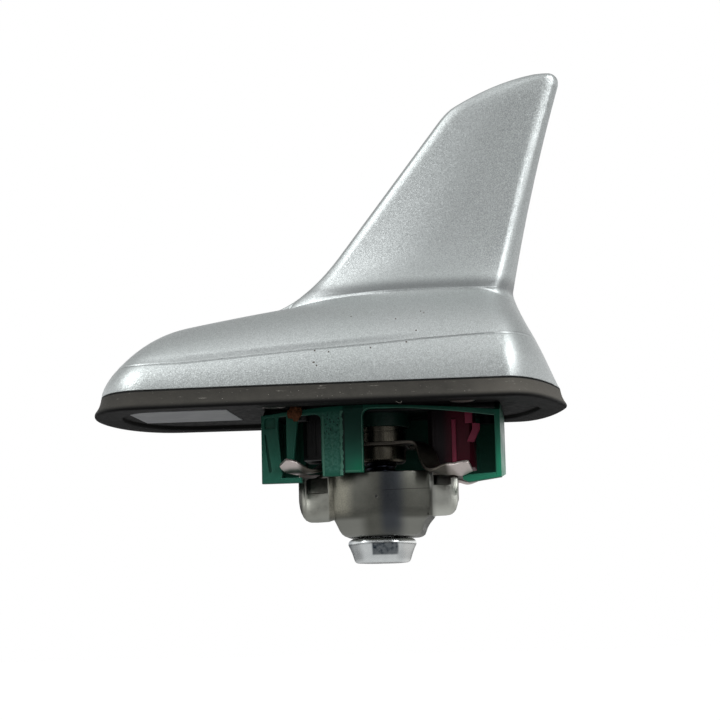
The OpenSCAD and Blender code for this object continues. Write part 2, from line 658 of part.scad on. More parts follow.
module clamp_cup() {
    bow = cup_d - ear_y;
    color([0.5, 0.5, 0.48]) translate([cup_shift, 0, cup_rim_z]) rotate([0, -cup_lean, 0]) translate([0, 0, -cup_rim_z])
        difference() {
            union() {
                difference() {
                    cup_solid([[cup_foot_r - 0.8, ear_y * 0.66, bow * 0.7, cup_floor_z, foot_shift],
                        [cup_foot_r, ear_y * 0.72, bow * 0.75, cup_floor_z + 0.4, foot_shift],
                        [cup_r - 2, ear_y * 0.88, bow * 0.9, cup_floor_z + 2, foot_shift * 0.85],
                        [cup_r, ear_y, bow, cup_cone_z, 0], [cup_r, ear_y, bow, cup_rim_z, 0]]);
                    cup_solid([[cup_foot_r - 1.6, ear_y * 0.6, bow * 0.7, cup_floor_z + cup_t, foot_shift],
                        [cup_r - cup_t - 1.9, ear_y * 0.88 - cup_t, bow * 0.9, cup_floor_z + cup_t + 1.8, foot_shift * 0.7],
                        [cup_r - cup_t, ear_y - cup_t, bow, cup_cone_z + 0.5, 0],
                        [cup_r - cup_t, ear_y - cup_t, bow, cup_rim_z + 1, 0]]);
                }
                difference() {
                    for (side = [-1, 1]) translate([ear_shift, side > 0 ? ear_y : -ear_y + cup_t, 0])
                        rotate([90, 0, 0]) linear_extrude(cup_t) ear_face(side < 0);
                    translate([0, 0, ear_foot - 1])
                        linear_extrude(cup_h) polygon(cup_outline(cup_r - cup_t / 2, ear_y - cup_t / 2, bow));
                }
            }
            translate([0, 0, cup_floor_z - 1]) cylinder(r = cup_hole_r, h = cup_t + 2, $fn = round_fn);
            translate([-cup_r - 1, -ear_gap, cup_cone_z + 1.2]) cube([2 * cup_r + 2, 2 * ear_gap, cup_h]);
        }
}

// Clamp bolt: plain shank for its thread, and a tapered hexagon head
head_top = cup_floor_z - 0.4;
head_foot_corners = 13.1;
bolt_end = -5.4;
module clamp_bolt() {
    color([0.66, 0.7, 0.76]) union() {
        translate([0, 0, head_top - 0.4]) cylinder(r = bolt_r - bolt_gap, h = bolt_end - head_top + 0.4, $fn = round_fn);
        translate([0, 0, head_top - 0.5]) cylinder(r = cup_hole_r + 1.6, h = 0.5, $fn = round_fn);
        translate([0, 0, head_top - 1.3]) cylinder(r1 = head_corners / 2, r2 = head_corners / 2 - 1.1, h = 0.8, $fn = 6);
        translate([0, 0, head_top - head_h + 0.5])
            cylinder(r1 = head_foot_corners / 2 + 0.1, r2 = head_corners / 2, h = head_h - 1.8, $fn = 6);
        translate([0, 0, head_top - head_h])
            cylinder(r1 = head_foot_corners / 2 - 0.5, r2 = head_foot_corners / 2 + 0.1, h = 0.5, $fn = 6);
    }
}

// Pan-head screws that hold the cover to the base plate
head_sink = 1.1;
module cover_screws() {
    color([0.7, 0.68, 0.66]) for (p = screw_places) translate([p[0], p[1], 0]) difference() {
        union() {
            translate([0, 0, plate_z + head_sink - 1.2]) cylinder(r = screw_head_r, h = 1.2, $fn = round_fn);
            translate([0, 0, plate_z + head_sink - skin]) cylinder(r = screw_r, h = 9, $fn = round_fn);
        }
        for (turn = [0, 90]) rotate(turn)
            translate([-1.8, -0.35, plate_z + head_sink - 1.3]) cube([3.6, 0.7, 0.8]);
    }
}

// Screws that hold the plug frame up to the base plate
module frame_screws() {
    color([0.45, 0.25, 0.15]) for (p = frame_screw_places) translate([p[0], p[1], 0]) {
        translate([0, 0, frame_top - 1.3]) cylinder(r = frame_screw_r, h = 3, $fn = round_fn);
        translate([0, 0, frame_top - 1.2 - 2]) cylinder(r = 1.9, h = 2, $fn = round_fn);
    }
}

module board_screws() {
    color([0.7, 0.7, 0.7]) for (p = post_places) translate([p[0], p[1], board_z]) {
        translate([0, 0, -3]) cylinder(r = board_screw_r, h = board_t + 3 + skin, $fn = round_fn);
        translate([0, 0, board_t]) cylinder(r = 2, h = 1.3, $fn = round_fn);
    }
}

board_x = [-54, tail_reach - 13.5];
board_half = foot_w / 2 - 12.5;
patch_x = -38;
module main_board() {
    color([0.1, 0.35, 0.2]) translate([0, 0, board_z]) linear_extrude(board_t) difference() {
        polygon([[board_x[0], -board_half + 4], [board_x[0] + 4, -board_half], [board_x[1] - 4, -board_half + 2],
                 [board_x[1], -board_half + 6], [board_x[1], board_half - 6], [board_x[1] - 4, board_half - 2],
                 [board_x[0] + 4, board_half], [board_x[0], board_half - 4]]);
        for (p = post_places) translate(p) circle(r = board_screw_r + 0.1, $fn = round_fn);
        for (p = screw_places) translate(p) circle(r = cover_boss_r + 0.5, $fn = round_fn);
        for (x = [black_x, red_x]) translate([x, socket_y]) circle(r = pin_r + seat_gap, $fn = round_fn);
        translate([patch_x, 0]) circle(r = pin_r + seat_gap, $fn = round_fn);
    }
}

can_size = [20, 20, 3.2];
can_x = -21;
can_wall = 0.3;
module shield_can() {
    color([0.75, 0.75, 0.77]) translate([can_x, -can_size[1] / 2, board_z + board_t]) difference() {
        cube(can_size);
        translate([can_wall, can_wall, -can_wall])
            cube([can_size[0] - 2 * can_wall, can_size[1] - 2 * can_wall, can_size[2]]);
    }
}

module patch_aerial() {
    color([0.8, 0.76, 0.66]) translate([patch_x, 0, board_z + board_t]) difference() {
        union() {
            translate([-patch_w / 2, -patch_w / 2, 0]) cube([patch_w, patch_w, patch_t]);
            translate([-patch_w / 2 + 3, -patch_w / 2 + 3, patch_t - skin]) cube([patch_w - 6, patch_w - 6, 0.1]);
        }
        translate([0, 0, -1]) cylinder(r = pin_r + seat_gap, h = patch_t + 2, $fn = round_fn);
    }
}
module patch_feed_pin() {
    color("gold") translate([patch_x, 0, board_z - 0.6]) {
        cylinder(r = pin_r, h = board_t + patch_t + 0.7, $fn = round_fn);
        translate([0, 0, board_t + patch_t + 0.7]) cylinder(r = 1, h = 0.4, $fn = round_fn);
    }
}

// Upright board inside the fin, with its copper strip and the holder on the main board
fin_board_t = 1;
fin_board_z = board_z + board_t + 1.2;
fin_board_outline = [[2, fin_board_z], [26, fin_board_z], [29.5, 34], [34.6, 57], [18.4, 57], [-3, 30], [2, 24]];
holder_x = [4, 16.6];
module fin_board() {
    color([0.12, 0.38, 0.22]) translate([0, fin_board_t / 2, 0]) rotate([90, 0, 0])
        linear_extrude(fin_board_t) polygon(fin_board_outline);
}
trace_t = 0.15;
module fin_trace() {
    color([0.72, 0.45, 0.25]) translate([0, -fin_board_t / 2, 0]) rotate([90, 0, 0]) linear_extrude(trace_t) union() {
        polygon([[23, 22], [25, 22], [28, 36], [26, 36]]);
        for (i = [0 : 5]) translate([2.2 + 3.6 * i, 34 + 4.2 * i]) square([20 - 2.4 * i, 1.4]);
        for (i = [0 : 4]) translate([(i % 2 == 0 ? 5.8 + 3.6 * i : 20.8 + 1.2 * i), 34 + 4.2 * i]) square([1.4, 5.6]);
        polygon([[24, 34], [28, 34], [28, 37], [22, 35.4]]);
    }
}
module fin_board_holder() {
    color([0.9, 0.88, 0.8]) translate([holder_x[0], -4, board_z + board_t]) difference() {
        cube([holder_x[1] - holder_x[0], 8, 9]);
        translate([-1, 4 - fin_board_t / 2 - seat_gap, fin_board_z - board_z - board_t - seat_gap])
            cube([holder_x[1] - holder_x[0] + 2, fin_board_t + 2 * seat_gap, 10]);
    }
}
module contact_spring() {
    x = holder_x[0] - 3.4;
    z = board_z + board_t;
    color("gold") translate([x, fin_board_t / 2 + 1.2, z]) rotate([90, 0, 0]) linear_extrude(1.2)
        polygon([[-0.4, 0], [2.6, 0], [2.6, 0.3], [0.2, 0.3], [2.4, 6.5], [1.6, 11], [1.3, 11], [2, 6.5], [-0.4, 0.4]]);
}

cover();
base_seal();
cover_gasket();
base_plate();
clamp_boss();
blank_label();
plug_frame();
black_socket();
red_socket();
black_outer_contact();
black_insulator();
black_centre_pin();
red_outer_contact();
red_insulator();
red_centre_pin();
claw_spring();
clamp_cup();
clamp_bolt();
cover_screws();
frame_screws();
board_screws();
main_board();
shield_can();
patch_aerial();
patch_feed_pin();
fin_board();
fin_trace();
fin_board_holder();
contact_spring();
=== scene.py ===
from math import cos, exp, hypot, pi, radians, sin, sqrt, tan

import bmesh
import bpy
import numpy as np
from mathutils import Matrix, Vector, noise


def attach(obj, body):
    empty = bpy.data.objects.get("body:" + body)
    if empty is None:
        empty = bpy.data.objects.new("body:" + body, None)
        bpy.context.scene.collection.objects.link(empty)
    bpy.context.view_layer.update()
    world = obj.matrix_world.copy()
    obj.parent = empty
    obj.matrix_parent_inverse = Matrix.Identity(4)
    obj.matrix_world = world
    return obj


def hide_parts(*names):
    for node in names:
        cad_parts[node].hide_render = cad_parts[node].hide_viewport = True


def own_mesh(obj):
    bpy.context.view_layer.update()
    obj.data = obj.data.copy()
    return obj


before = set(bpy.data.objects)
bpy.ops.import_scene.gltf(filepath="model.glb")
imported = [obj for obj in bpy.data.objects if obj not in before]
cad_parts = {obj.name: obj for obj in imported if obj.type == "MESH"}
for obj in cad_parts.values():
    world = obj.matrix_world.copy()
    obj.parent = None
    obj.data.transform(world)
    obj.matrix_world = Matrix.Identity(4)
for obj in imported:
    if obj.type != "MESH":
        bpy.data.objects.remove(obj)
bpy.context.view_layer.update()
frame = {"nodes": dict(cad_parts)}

MM = 0.001
nodes = frame["nodes"]


# Shader maths


def operation(kind, swapped=False):
    """A method that feeds one maths node; swapped puts the socket last."""
    def apply(self, *others):
        inputs = (*others, self) if swapped else (self, *others)
        return self.nodes.node("ShaderNodeMath", {"operation": kind}, *inputs)
    return apply


class Value:
    """A socket that reads as a number in an expression."""

    __add__ = __radd__ = operation("ADD")
    __mul__ = __rmul__ = operation("MULTIPLY")
    __sub__, __rsub__ = operation("SUBTRACT"), operation("SUBTRACT", True)
    __pow__, abs = operation("POWER"), operation("ABSOLUTE")
    at_most, at_least = operation("MINIMUM"), operation("MAXIMUM")

    def __init__(self, nodes, socket):
        self.nodes, self.socket = nodes, socket

    def rise(self, low, high, to_low=0.0, to_high=1.0):
        """Smooth step from to_low at low to to_high at high."""
        return self.nodes.node(
            "ShaderNodeMapRange", {"interpolation_type": "SMOOTHSTEP"},
            self, low, high, to_low, to_high)

    def fall(self, low, high):
        """Smooth step from one at low to zero at high."""
        return self.rise(low, high, 1.0, 0.0)

    def within(self, low, full, still, high):
        """One from full to still, and zero below low and above high."""
        return self.rise(low, full) * self.fall(still, high)


class Nodes:
    """Short ways to add nodes to a tree."""

    def __init__(self, tree):
        self.tree = tree

    def raw(self, kind, settings=None):
        node = self.tree.nodes.new(kind)
        for key, value in (settings or {}).items():
            setattr(node, key, value)
        return node

    def feed(self, socket, value):
        if isinstance(value, Value):
            self.tree.links.new(value.socket, socket)
        elif value is not None:
            if socket.type == "RGBA" and len(value) == 3:
                value = (*value, 1.0)
            socket.default_value = value

    def node(self, kind, settings=None, *inputs, out=0, **named):
        """A node from its settings, then the values or links of its sockets."""
        node = self.raw(kind, settings)
        for socket, value in zip(node.inputs, inputs):
            self.feed(socket, value)
        for name, value in named.items():
            self.feed(node.inputs[name.replace("_", " ")], value)
        return Value(self, node.outputs[out])

    def split(self, place):
        node = self.raw("ShaderNodeSeparateXYZ")
        self.feed(node.inputs[0], place)
        return [Value(self, socket) for socket in node.outputs]


class Finish(Nodes):
    """A procedural material. Lengths in it are in millimetres."""

    def __init__(self, name, color, rough=0.5, metal=0.0, **fixed):
        self.material = bpy.data.materials.new(name)
        self.material.use_nodes = True
        super().__init__(self.material.node_tree)
        self.shader = self.tree.nodes["Principled BSDF"]
        self.place = self.vector(
            "MULTIPLY", self.node("ShaderNodeTexCoord", out="Object"), (1 / MM,) * 3)
        self.set("Base Color", color)
        self.set("Roughness", rough)
        self.set("Metallic", metal)
        for name, value in fixed.items():
            self.set(name.replace("_", " "), value)

    def vector(self, operation, a, b=None):
        return self.node("ShaderNodeVectorMath", {"operation": operation}, a, b)

    def axes(self):
        return self.split(self.place)

    def stretched(self, factors):
        return self.vector("MULTIPLY", self.place, factors)

    def cloud(self, scale, detail=3.0, rough=0.5, place=None):
        """Noise from 0 to 1 with about scale features a millimetre."""
        return self.node("ShaderNodeTexNoise", None, Vector=place or self.place,
                         Scale=scale, Detail=detail, Roughness=rough)

    def cells(self, scale, place=None, out="Distance"):
        return self.node("ShaderNodeTexVoronoi", None, out=out,
                         Vector=place or self.place, Scale=scale)

    def blend(self, share, a, b):
        node = self.raw("ShaderNodeMix", {"data_type": "RGBA"})
        self.feed(node.inputs["Factor"], share)
        colors = [s for s in node.inputs if s.type == "RGBA"]
        self.feed(colors[0], a)
        self.feed(colors[1], b)
        return Value(self, [s for s in node.outputs if s.type == "RGBA"][0])

    def coat(self, share, color):
        """Lays color over the base colour by share."""
        below = self.shader.inputs["Base Color"].links[0].from_socket
        self.set("Base Color", self.blend(share, Value(self, below), color))

    def bump(self, height, depth):
        """Bump of depth in millimetres where height goes from 0 to 1."""
        return self.node("ShaderNodeBump", None,
                         Strength=1.0, Distance=depth * MM, Height=height)

    def worn(self, grain, smooth, rough, depth):
        """Roughness and bump of rubbed metal, after its grain."""
        self.set("Roughness", grain.rise(0.3, 0.75, smooth, rough))
        self.set("Normal", self.bump(grain, depth))

    def set(self, name, value):
        self.feed(self.shader.inputs[name], value)


# Paints and metals


def spots(finish, places, size):
    """Mask of small spots on the camera's side, at places in X and Z."""
    x, y, z = finish.axes()
    wobble = finish.cloud(2.2) * 0.5
    mask = None
    for px, pz, stretch in places:
        off = ((x - px) * (1 / stretch)) ** 2.0 + (z - pz) ** 2.0
        spot = (off + wobble * size * size).fall(size * size * 0.45, size * size * 0.95)
        mask = spot if mask is None else mask.at_least(spot)
    return mask * y.fall(-1.0, 0.0)


PAINT_METAL, FLAKE_TILT, SPECK_SIZE = 0.72, 0.17, 0.3
# Each speck of dirt is its X, its Z and how far it is drawn out along X
SPECKS = [(-12.5, 12.9, 1.0), (-9.1, 12.5, 1.0), (-12.7, 10.0, 1.5), (11.9, 17.1, 1.1),
          (6.8, 20.5, 0.8), (-4.2, 21.8, 0.7), (9.6, 14.2, 1.1), (1.0, 13.1, 1.0),
          (-64.0, 9.8, 1.0), (12.8, 22.4, 0.7), (13.6, 21.9, 0.6), (-12.0, 9.2, 0.8)]


def silver_paint():
    f = Finish("silver_paint", (0.5,) * 3, rough=0.42, metal=PAINT_METAL,
               Coat_Weight=0.1, Coat_Roughness=0.3, Coat_IOR=1.45)
    flake = f.cells(5.8, out="Color")
    flake_gray = f.node("ShaderNodeRGBToBW", None, flake)
    fine = f.cells(10.0, out="Color")
    fine_gray = f.node("ShaderNodeRGBToBW", None, fine)
    tone = flake_gray.rise(0.1, 0.9, 0.83, 1.17) * fine_gray.rise(0.1, 0.9, 0.88, 1.12)
    drift = f.cloud(0.05, 2.0)
    base = f.blend(drift, (0.428, 0.464, 0.459), (0.452, 0.475, 0.478))
    lit = f.vector("MULTIPLY", base, f.node("ShaderNodeCombineXYZ", None, tone, tone, tone))
    x, y, z = f.axes()
    # painted shade: darker in the valley over the seam, along the seam line, in the fin's root
    # fillet and over the fin's middle panel
    over_seam = z - ((x + 45.0).at_least(0.0) * 0.061 + 11.3)
    valley = (over_seam - 1.15).abs().fall(0.1, 1.2) * x.within(-58.0, -40.0, -2.0, 20.0)
    line = over_seam.abs().fall(0.08, 0.3) * x.rise(-70.0, -60.0)
    root = z.within(28.0, 29.4, 30.2, 33.5) * y.abs().fall(12.5, 15.0) * x.rise(-24.0, -8.0)
    from_lead = x + 5.9 - (z - 44.9) * 0.777
    from_trail = 35.4 - x + (z - 33.8) * 0.25
    panel = z.within(31.0, 36.0, 78.0, 84.0) * from_lead.rise(1.0, 6.0) * from_trail.rise(1.0, 6.0)
    shaded = (valley * 0.36 + line * 0.3 + root * 0.62 + panel * 0.27).at_most(0.78)
    lit = f.blend(shaded, lit, (0.1, 0.105, 0.11))
    specks = spots(f, SPECKS, SPECK_SIZE)
    f.set("Base Color", f.blend(specks, lit, (0.05, 0.035, 0.025)))
    f.set("Metallic", PAINT_METAL * (1 - specks))
    f.set("Roughness", 0.39 + fine_gray * 0.1)
    tilt = f.node("ShaderNodeVectorMath", {"operation": "SCALE"},
                  f.vector("SUBTRACT", flake, (0.5,) * 3), Scale=FLAKE_TILT)
    normal = f.node("ShaderNodeNewGeometry", out="Normal")
    f.set("Normal", f.vector("NORMALIZE", f.vector("ADD", normal, tilt)))
    return f.material


def seal_rubber():
    f = Finish("seal_rubber", (0.06, 0.055, 0.05), rough=0.62, Specular_IOR_Level=0.11)
    x, y, z = f.axes()
    mottled = f.cloud(0.35, 5.0, 0.65)
    # painted highlight: the rubber gets lighter toward the tail, mixed with its own mottling
    worn = x.rise(16.0, 44.0) * 1.1 + mottled * 0.5
    base = f.blend(worn, (0.026, 0.025, 0.022), (0.085, 0.08, 0.07))
    dust = f.cells(1.15).fall(0.06, 0.12) * f.cloud(0.5, 2.0).rise(0.42, 0.62)
    scuff = f.cloud(1.0, 4.0, 0.7, f.stretched((0.25, 1.0, 1.6))).rise(0.62, 0.75) * 0.35
    low = z.rise(0.3, 1.6)
    shown = f.blend((dust * 0.8 + scuff) * low, base, (0.42, 0.4, 0.36))
    # painted shade: a thin dark line along the top edge, under the cover's rim
    shown = f.blend(z.rise(4.35, 4.6), shown, (0.004,) * 3)
    # painted shade: the underside and the lowest band of the seal go near black
    f.set("Base Color", f.blend(low, (0.004,) * 3, shown))
    f.set("Roughness", 0.52 + mottled * 0.25)
    f.set("Normal", f.bump(f.cloud(3.0, 4.0, 0.7) + dust, 0.06))
    return f.material


def moulding(name, dark, light, rough=0.45, grain=0.03, scale=0.6, **fixed):
    """Moulded plastic with slow colour drift, fine grain and dull patches."""
    f = Finish(name, dark, rough=rough, **fixed)
    patch = f.cloud(scale, 4.0, 0.6)
    f.set("Base Color", f.blend(patch.rise(0.35, 0.7), dark, light))
    f.set("Roughness", patch.rise(0.3, 0.7, rough - 0.08, rough + 0.12))
    f.set("Normal", f.bump(f.cloud(scale * 8, 3.0), grain))
    return f.material


def green_moulding():
    f = Finish("green_moulding", (0.02, 0.1, 0.07), rough=0.4, Specular_IOR_Level=0.22)
    x, y, z = f.axes()
    drift = f.cloud(0.25, 4.0, 0.6)
    f.set("Base Color", f.blend(drift, (0.01, 0.092, 0.06), (0.022, 0.14, 0.095)))
    front = y.rise(-13.9, -14.2)
    # painted shade: the frame's inner faces near the top go near black
    f.coat(y.rise(-13.6, -13.3) * z.rise(-0.7, -0.2), (0.004, 0.005, 0.005))
    # painted shade: dark green around the boss
    f.coat(x.abs().fall(7.9, 8.2) * y.abs().fall(7.9, 8.2) * z.rise(-4.2, -3.9) * 0.85,
           (0.003, 0.014, 0.01))
    # smooth panel between the flash and the window: painted shade above, painted highlight below
    # and at its edge
    panel = front * x.within(-7.9, -7.2, -2.6, -2.4)
    f.coat(panel * z.rise(-14.0, -3.0), (0.003, 0.045, 0.03))
    f.coat(panel * z.fall(-16.0, -10.0) * x.rise(-7.0, -3.4, 0.25, 0.9), (0.01, 0.2, 0.105))
    # mottled field of the pillar, with dark pits
    field = front * x.within(-12.9, -12.3, -8.7, -8.1) * z.within(-16.0, -14.5, -2.0, 0.2)
    mottle = f.cloud(1.6, 5.0, 0.75)
    pits = f.cells(1.7, f.stretched((1.0, 1.0, 0.6))).fall(0.16, 0.34) * z.rise(-10.0, -4.5)
    f.coat(field * mottle.rise(0.38, 0.62), (0.055, 0.19, 0.145))
    f.coat(field * pits * 0.9, (0.003, 0.014, 0.014))
    shade = front * x.within(-7.9, -7.7, -7.3, -7.0) * z.fall(-1.5, 0.0)
    f.coat(shade * 0.9, (0.001, 0.012, 0.009))
    # painted glow: the thin far ends of the moulding are coloured bright, standing in for light
    # that shows through them
    ends = (x.rise(28.9, 30.3) * z.rise(-14.5, -8.0, 1.0, 0.25)
            + z.rise(-17.6, -16.2, 0.7, 0.0) * x.rise(20.0, 21.5))
    f.coat(ends.at_most(1.0) * 0.85, (0.02, 0.27, 0.15))
    grime = f.cloud(0.5, 4.0, 0.7).rise(0.52, 0.72) * z.rise(-4.0, 0.8) * 0.75
    f.coat(grime, (0.012, 0.028, 0.022))
    # painted highlight on the raised border, bead and flash
    proud = y.rise(-14.53, -14.62)
    f.coat(proud * 0.85, (0.09, 0.25, 0.18))
    f.set("Roughness", drift.rise(0.3, 0.7, 0.3, 0.46) + field * 0.15)
    f.set("Normal", f.bump(f.cloud(3.0, 3.0) * 0.3 + field * mottle - field * pits * 0.8, 0.12))
    return f.material


def bordeaux_moulding():
    f = Finish("bordeaux_moulding", (0.08, 0.008, 0.02), rough=0.42, Specular_IOR_Level=0.25)
    x, y, z = f.axes()
    # painted shade on the socket's left, painted light on its right
    lit = x.rise(15.8, 19.6)
    f.set("Base Color", f.blend(lit, (0.006, 0.002, 0.004), (0.1, 0.007, 0.02)))
    # painted highlight on the near rib, block and latch
    f.coat(y.rise(-6.0, -6.5), (0.4, 0.055, 0.11))
    f.set("Normal", f.bump(f.cloud(3.0, 3.0), 0.03))
    return f.material


def spring_metal():
    """Dark metal strip, brighter at its toes."""
    f = Finish("spring_metal", (0.1,) * 3, rough=0.42, metal=1.0)
    x, y, z = f.axes()
    grain = f.cloud(3.0, 4.0, 0.65)
    toe = x.abs().rise(17.2, 19.0) * grain.rise(0.2, 0.5, 0.85, 1.0)
    dull = f.blend(grain, (0.045, 0.04, 0.034), (0.11, 0.1, 0.085))
    bright = f.blend(grain, (0.44, 0.39, 0.37), (0.66, 0.6, 0.58))
    f.set("Base Color", f.blend(toe, dull, bright))
    f.worn(grain, 0.34, 0.5, 0.015)
    return f.material


def cup_metal():
    """Worn plating with painted light and shade: dull in front, brighter at the ears and the left
    side.
    """
    f = Finish("cup_metal", (0.2,) * 3, rough=0.38, metal=1.0)
    x, y, z = f.axes()
    grain = f.cloud(3.0, 4.0, 0.65)
    stain = f.cloud(0.45, 3.0)
    f.set("Base Color", f.blend(grain * 0.5 + stain * 0.5, (0.07, 0.072, 0.065),
                                (0.148, 0.148, 0.128)))
    # painted highlight: the barrel's left side lighter, broken up by the grain
    left_highlight = x.fall(-8.5, -5.0) * z.rise(-27.0, -24.5) * grain.rise(0.3, 0.7, 0.55, 1.0)
    f.coat(left_highlight * 0.8, (0.33, 0.32, 0.26))
    # painted light: the ears lighter, the right ear lighter still
    ear = x.rise(-12.4, -11.8, 0.68, 0.0) + x.rise(13.2, 13.8)
    f.coat(ear * stain.rise(0.2, 0.6, 0.75, 1.0), (0.44, 0.45, 0.41))
    f.coat(x.rise(13.2, 13.8) * 0.35, (0.75, 0.76, 0.7))
    # painted shade on the left ear's bent end
    f.coat(x.rise(-19.1, -18.5, 0.85, 0.0), (0.06, 0.06, 0.055))
    # painted shade where the right ear turns from the barrel
    f.coat((x - 13.2).rise(0.3, 1.4, 0.35, 0.0) * x.rise(13.0, 13.3), (0.15, 0.15, 0.14))
    # painted light on the foot's lower corners, in place of their facets
    heel = z.fall(-27.2, -26.0) * (x - 0.9).abs().rise(2.6, 6.0)
    f.coat(heel * 0.75, (0.27, 0.275, 0.25))
    # painted reflection: a dark bluish stripe down the front
    dark_reflection = x.within(-0.2, 2.4, 4.6, 8.0) * z.rise(-33.0, -28.0)
    f.coat(dark_reflection * 0.7, (0.035, 0.042, 0.058))
    # painted shade inside the cup
    inside = y.within(-2.0, 6.0, 8.2, 8.8) * x.abs().fall(11.0, 11.8) * z.rise(-30.0, -28.0)
    f.coat(inside * 0.95, (0.012, 0.012, 0.014))
    # painted highlight along the right ear's joint ridge
    ridge = (x - 13.1).abs().fall(0.1, 0.4) * z.rise(-20.5, -18.0) * y.rise(-8.0, -9.2)
    f.coat(ridge * 0.8, (0.8, 0.8, 0.76))
    scratch = (z + 20.0 - x * 0.035).abs().fall(0.03, 0.1) * x.within(1.0, 2.5, 12.6, 13.2)
    pit = spots(f, [(0.0, -21.4, 1.0)], 0.5)
    f.coat((scratch * 0.7).at_least(pit), (0.012,) * 3)
    f.set("Metallic", 1 - pit)
    f.set("Roughness", grain.rise(0.3, 0.75, 0.3, 0.46))
    f.set("Normal", f.bump(grain + pit * -4.0, 0.02))
    return f.material


def bolt_metal():
    """Zinc with painted light and shade: a painted highlight on the head's right side, painted
    shade on its left and over the shank, and a painted dark reflection on the near flat.
    """
    f = Finish("bolt_metal", (0.5,) * 3, rough=0.24, metal=1.0)
    x, y, z = f.axes()
    grain = f.cloud(3.0, 4.0, 0.65)
    stain = f.cloud(0.7, 4.0, 0.6)
    f.set("Base Color", f.blend(grain * 0.5 + stain * 0.5, (0.46, 0.5, 0.52), (0.86, 0.88, 0.87)))
    # painted reflection: a dark patch on the head's near flat, broken by stain
    front = (y.fall(-6.4, -5.4) * (x - 1.4).abs().fall(2.9, 3.5)
             * z.within(-35.7, -35.1, -32.6, -32.2))
    f.coat(front * stain.rise(0.3, 0.6, 1.0, 0.8), (0.014, 0.024, 0.036))
    # painted highlight on the head's right side
    f.coat(x.rise(4.6, 6.6) * 0.7, (0.97, 0.98, 0.96))
    # painted shade on the head's left side
    f.coat(x.rise(-8.6, -6.4, 0.8, 0.0), (0.1, 0.13, 0.16))
    # painted shade over the shank, inside the cup
    f.coat(z.rise(-30.4, -29.4), (0.018, 0.02, 0.028))
    f.worn(grain, 0.18, 0.34, 0.015)
    return f.material


def metal(name, dark, light, rough=0.3, streak=(1.0,) * 3, bump=0.015):
    """Bare or plated metal with streaks and stains."""
    f = Finish(name, dark, rough=rough, metal=1.0)
    grain = f.cloud(3.0, 4.0, 0.65, f.stretched(streak))
    stain = f.cloud(0.42, 3.0)
    f.set("Base Color", f.blend(grain * 0.55 + stain * 0.45, dark, light))
    f.worn(grain, rough - 0.07, rough + 0.12, bump)
    return f.material


# Meshes


def placed(name, data):
    thing = bpy.data.objects.new(name, data)
    bpy.context.scene.collection.objects.link(thing)
    return thing


def finish_mesh(name, mesh, sharp=None):
    bm = bmesh.new()
    bm.from_mesh(mesh)
    bmesh.ops.remove_doubles(bm, verts=bm.verts, dist=2e-6)
    bmesh.ops.dissolve_degenerate(bm, edges=bm.edges, dist=1e-7)
    bmesh.ops.recalc_face_normals(bm, faces=bm.faces)
    bm.to_mesh(mesh)
    bm.free()
    mesh.shade_smooth()
    if sharp is not None:
        mesh.set_sharp_from_angle(angle=radians(sharp))
    return placed(name, mesh)


def dress(piece, material, body, stands_for=()):
    piece.data.materials.clear()
    piece.data.materials.append(material)
    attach(piece, body)
    if stands_for:
        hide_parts(*stands_for)


# Footprint and cover, after the sizes that the solids have

NOSE_REACH, TAIL_REACH, FOOT_W, WIDE_AT = 71.4, 47, 60, 8.0
SEAL_H, SEAL_FLARE = 4.9, 1.6
SHOULDER_Z, BROW_Z, TIP_Z = 30.4, 20.6, 85.7
LEAD_LEAN = radians(37.8)
FIN_ROOT_HALF, FIN_TIP_HALF, ROOT_FLARE = 8.2, 2.9, 5.0


def mix(a, b, t):
    return a + (b - a) * t


def clamp01(t):
    return np.clip(t, 0, 1)


def smooth_max(a, b, k):
    h = clamp01(0.5 + (a - b) / (2 * k))
    return mix(b, a, h) + k * h * (1 - h)


def smooth_min(a, b, k):
    return -smooth_max(-a, -b, k)


def foot_half(x, inset):
    half = FOOT_W / 2 - inset
    slim = 1 - 0.08 * clamp01((WIDE_AT - x) / (WIDE_AT + NOSE_REACH)) ** 2
    from_nose = clamp01((x + NOSE_REACH - inset) / 16)
    from_tail = clamp01((TAIL_REACH - inset - x) / 13)
    return half * slim * np.sqrt(1 - (1 - from_nose) ** 2.5) * (1 - (1 - from_tail) ** 2.2) ** 0.85


def spread(x0, x1, n):
    """Stations from x0 to x1 that crowd together at both ends."""
    return x0 + (x1 - x0) * (1 - np.cos(np.pi * np.arange(n + 1) / n)) / 2


def mirrored(xs, half, z):
    """Closed ring of points from a half width at each station."""
    near = np.stack([xs, -half, np.broadcast_to(z, xs.shape)], 1)
    far = np.stack([xs, half, np.broadcast_to(z, xs.shape)], 1)[-2:0:-1]
    return np.concatenate([near, far])


def foot_ring(inset, z, n=150):
    xs = spread(inset - NOSE_REACH, TAIL_REACH - inset, n)
    half = foot_half(xs, inset)
    half[0] = half[-1] = 0
    return mirrored(xs, half, z)


COVER_Z = SEAL_H
TAIL_FULL, TAIL_ROUND, TAIL_TURN = 2.9, 1.2, 22.0
NOSE_TURN = -46.0
COVER_TAIL = TAIL_REACH - SEAL_FLARE
COVER_NOSE = SEAL_FLARE - NOSE_REACH


def body_top(x):
    brow = BROW_Z + (SHOULDER_Z - BROW_Z) * np.sin(pi / 2 * clamp01((x + 62) / 84))
    nose = (1 - clamp01((NOSE_TURN - x) / (NOSE_TURN - COVER_NOSE)) ** 2.5) ** 0.9
    tail = (1 - clamp01((x - TAIL_TURN) / (COVER_TAIL - TAIL_TURN)) ** TAIL_FULL) ** TAIL_ROUND
    return COVER_Z + (brow - COVER_Z) * nose * tail


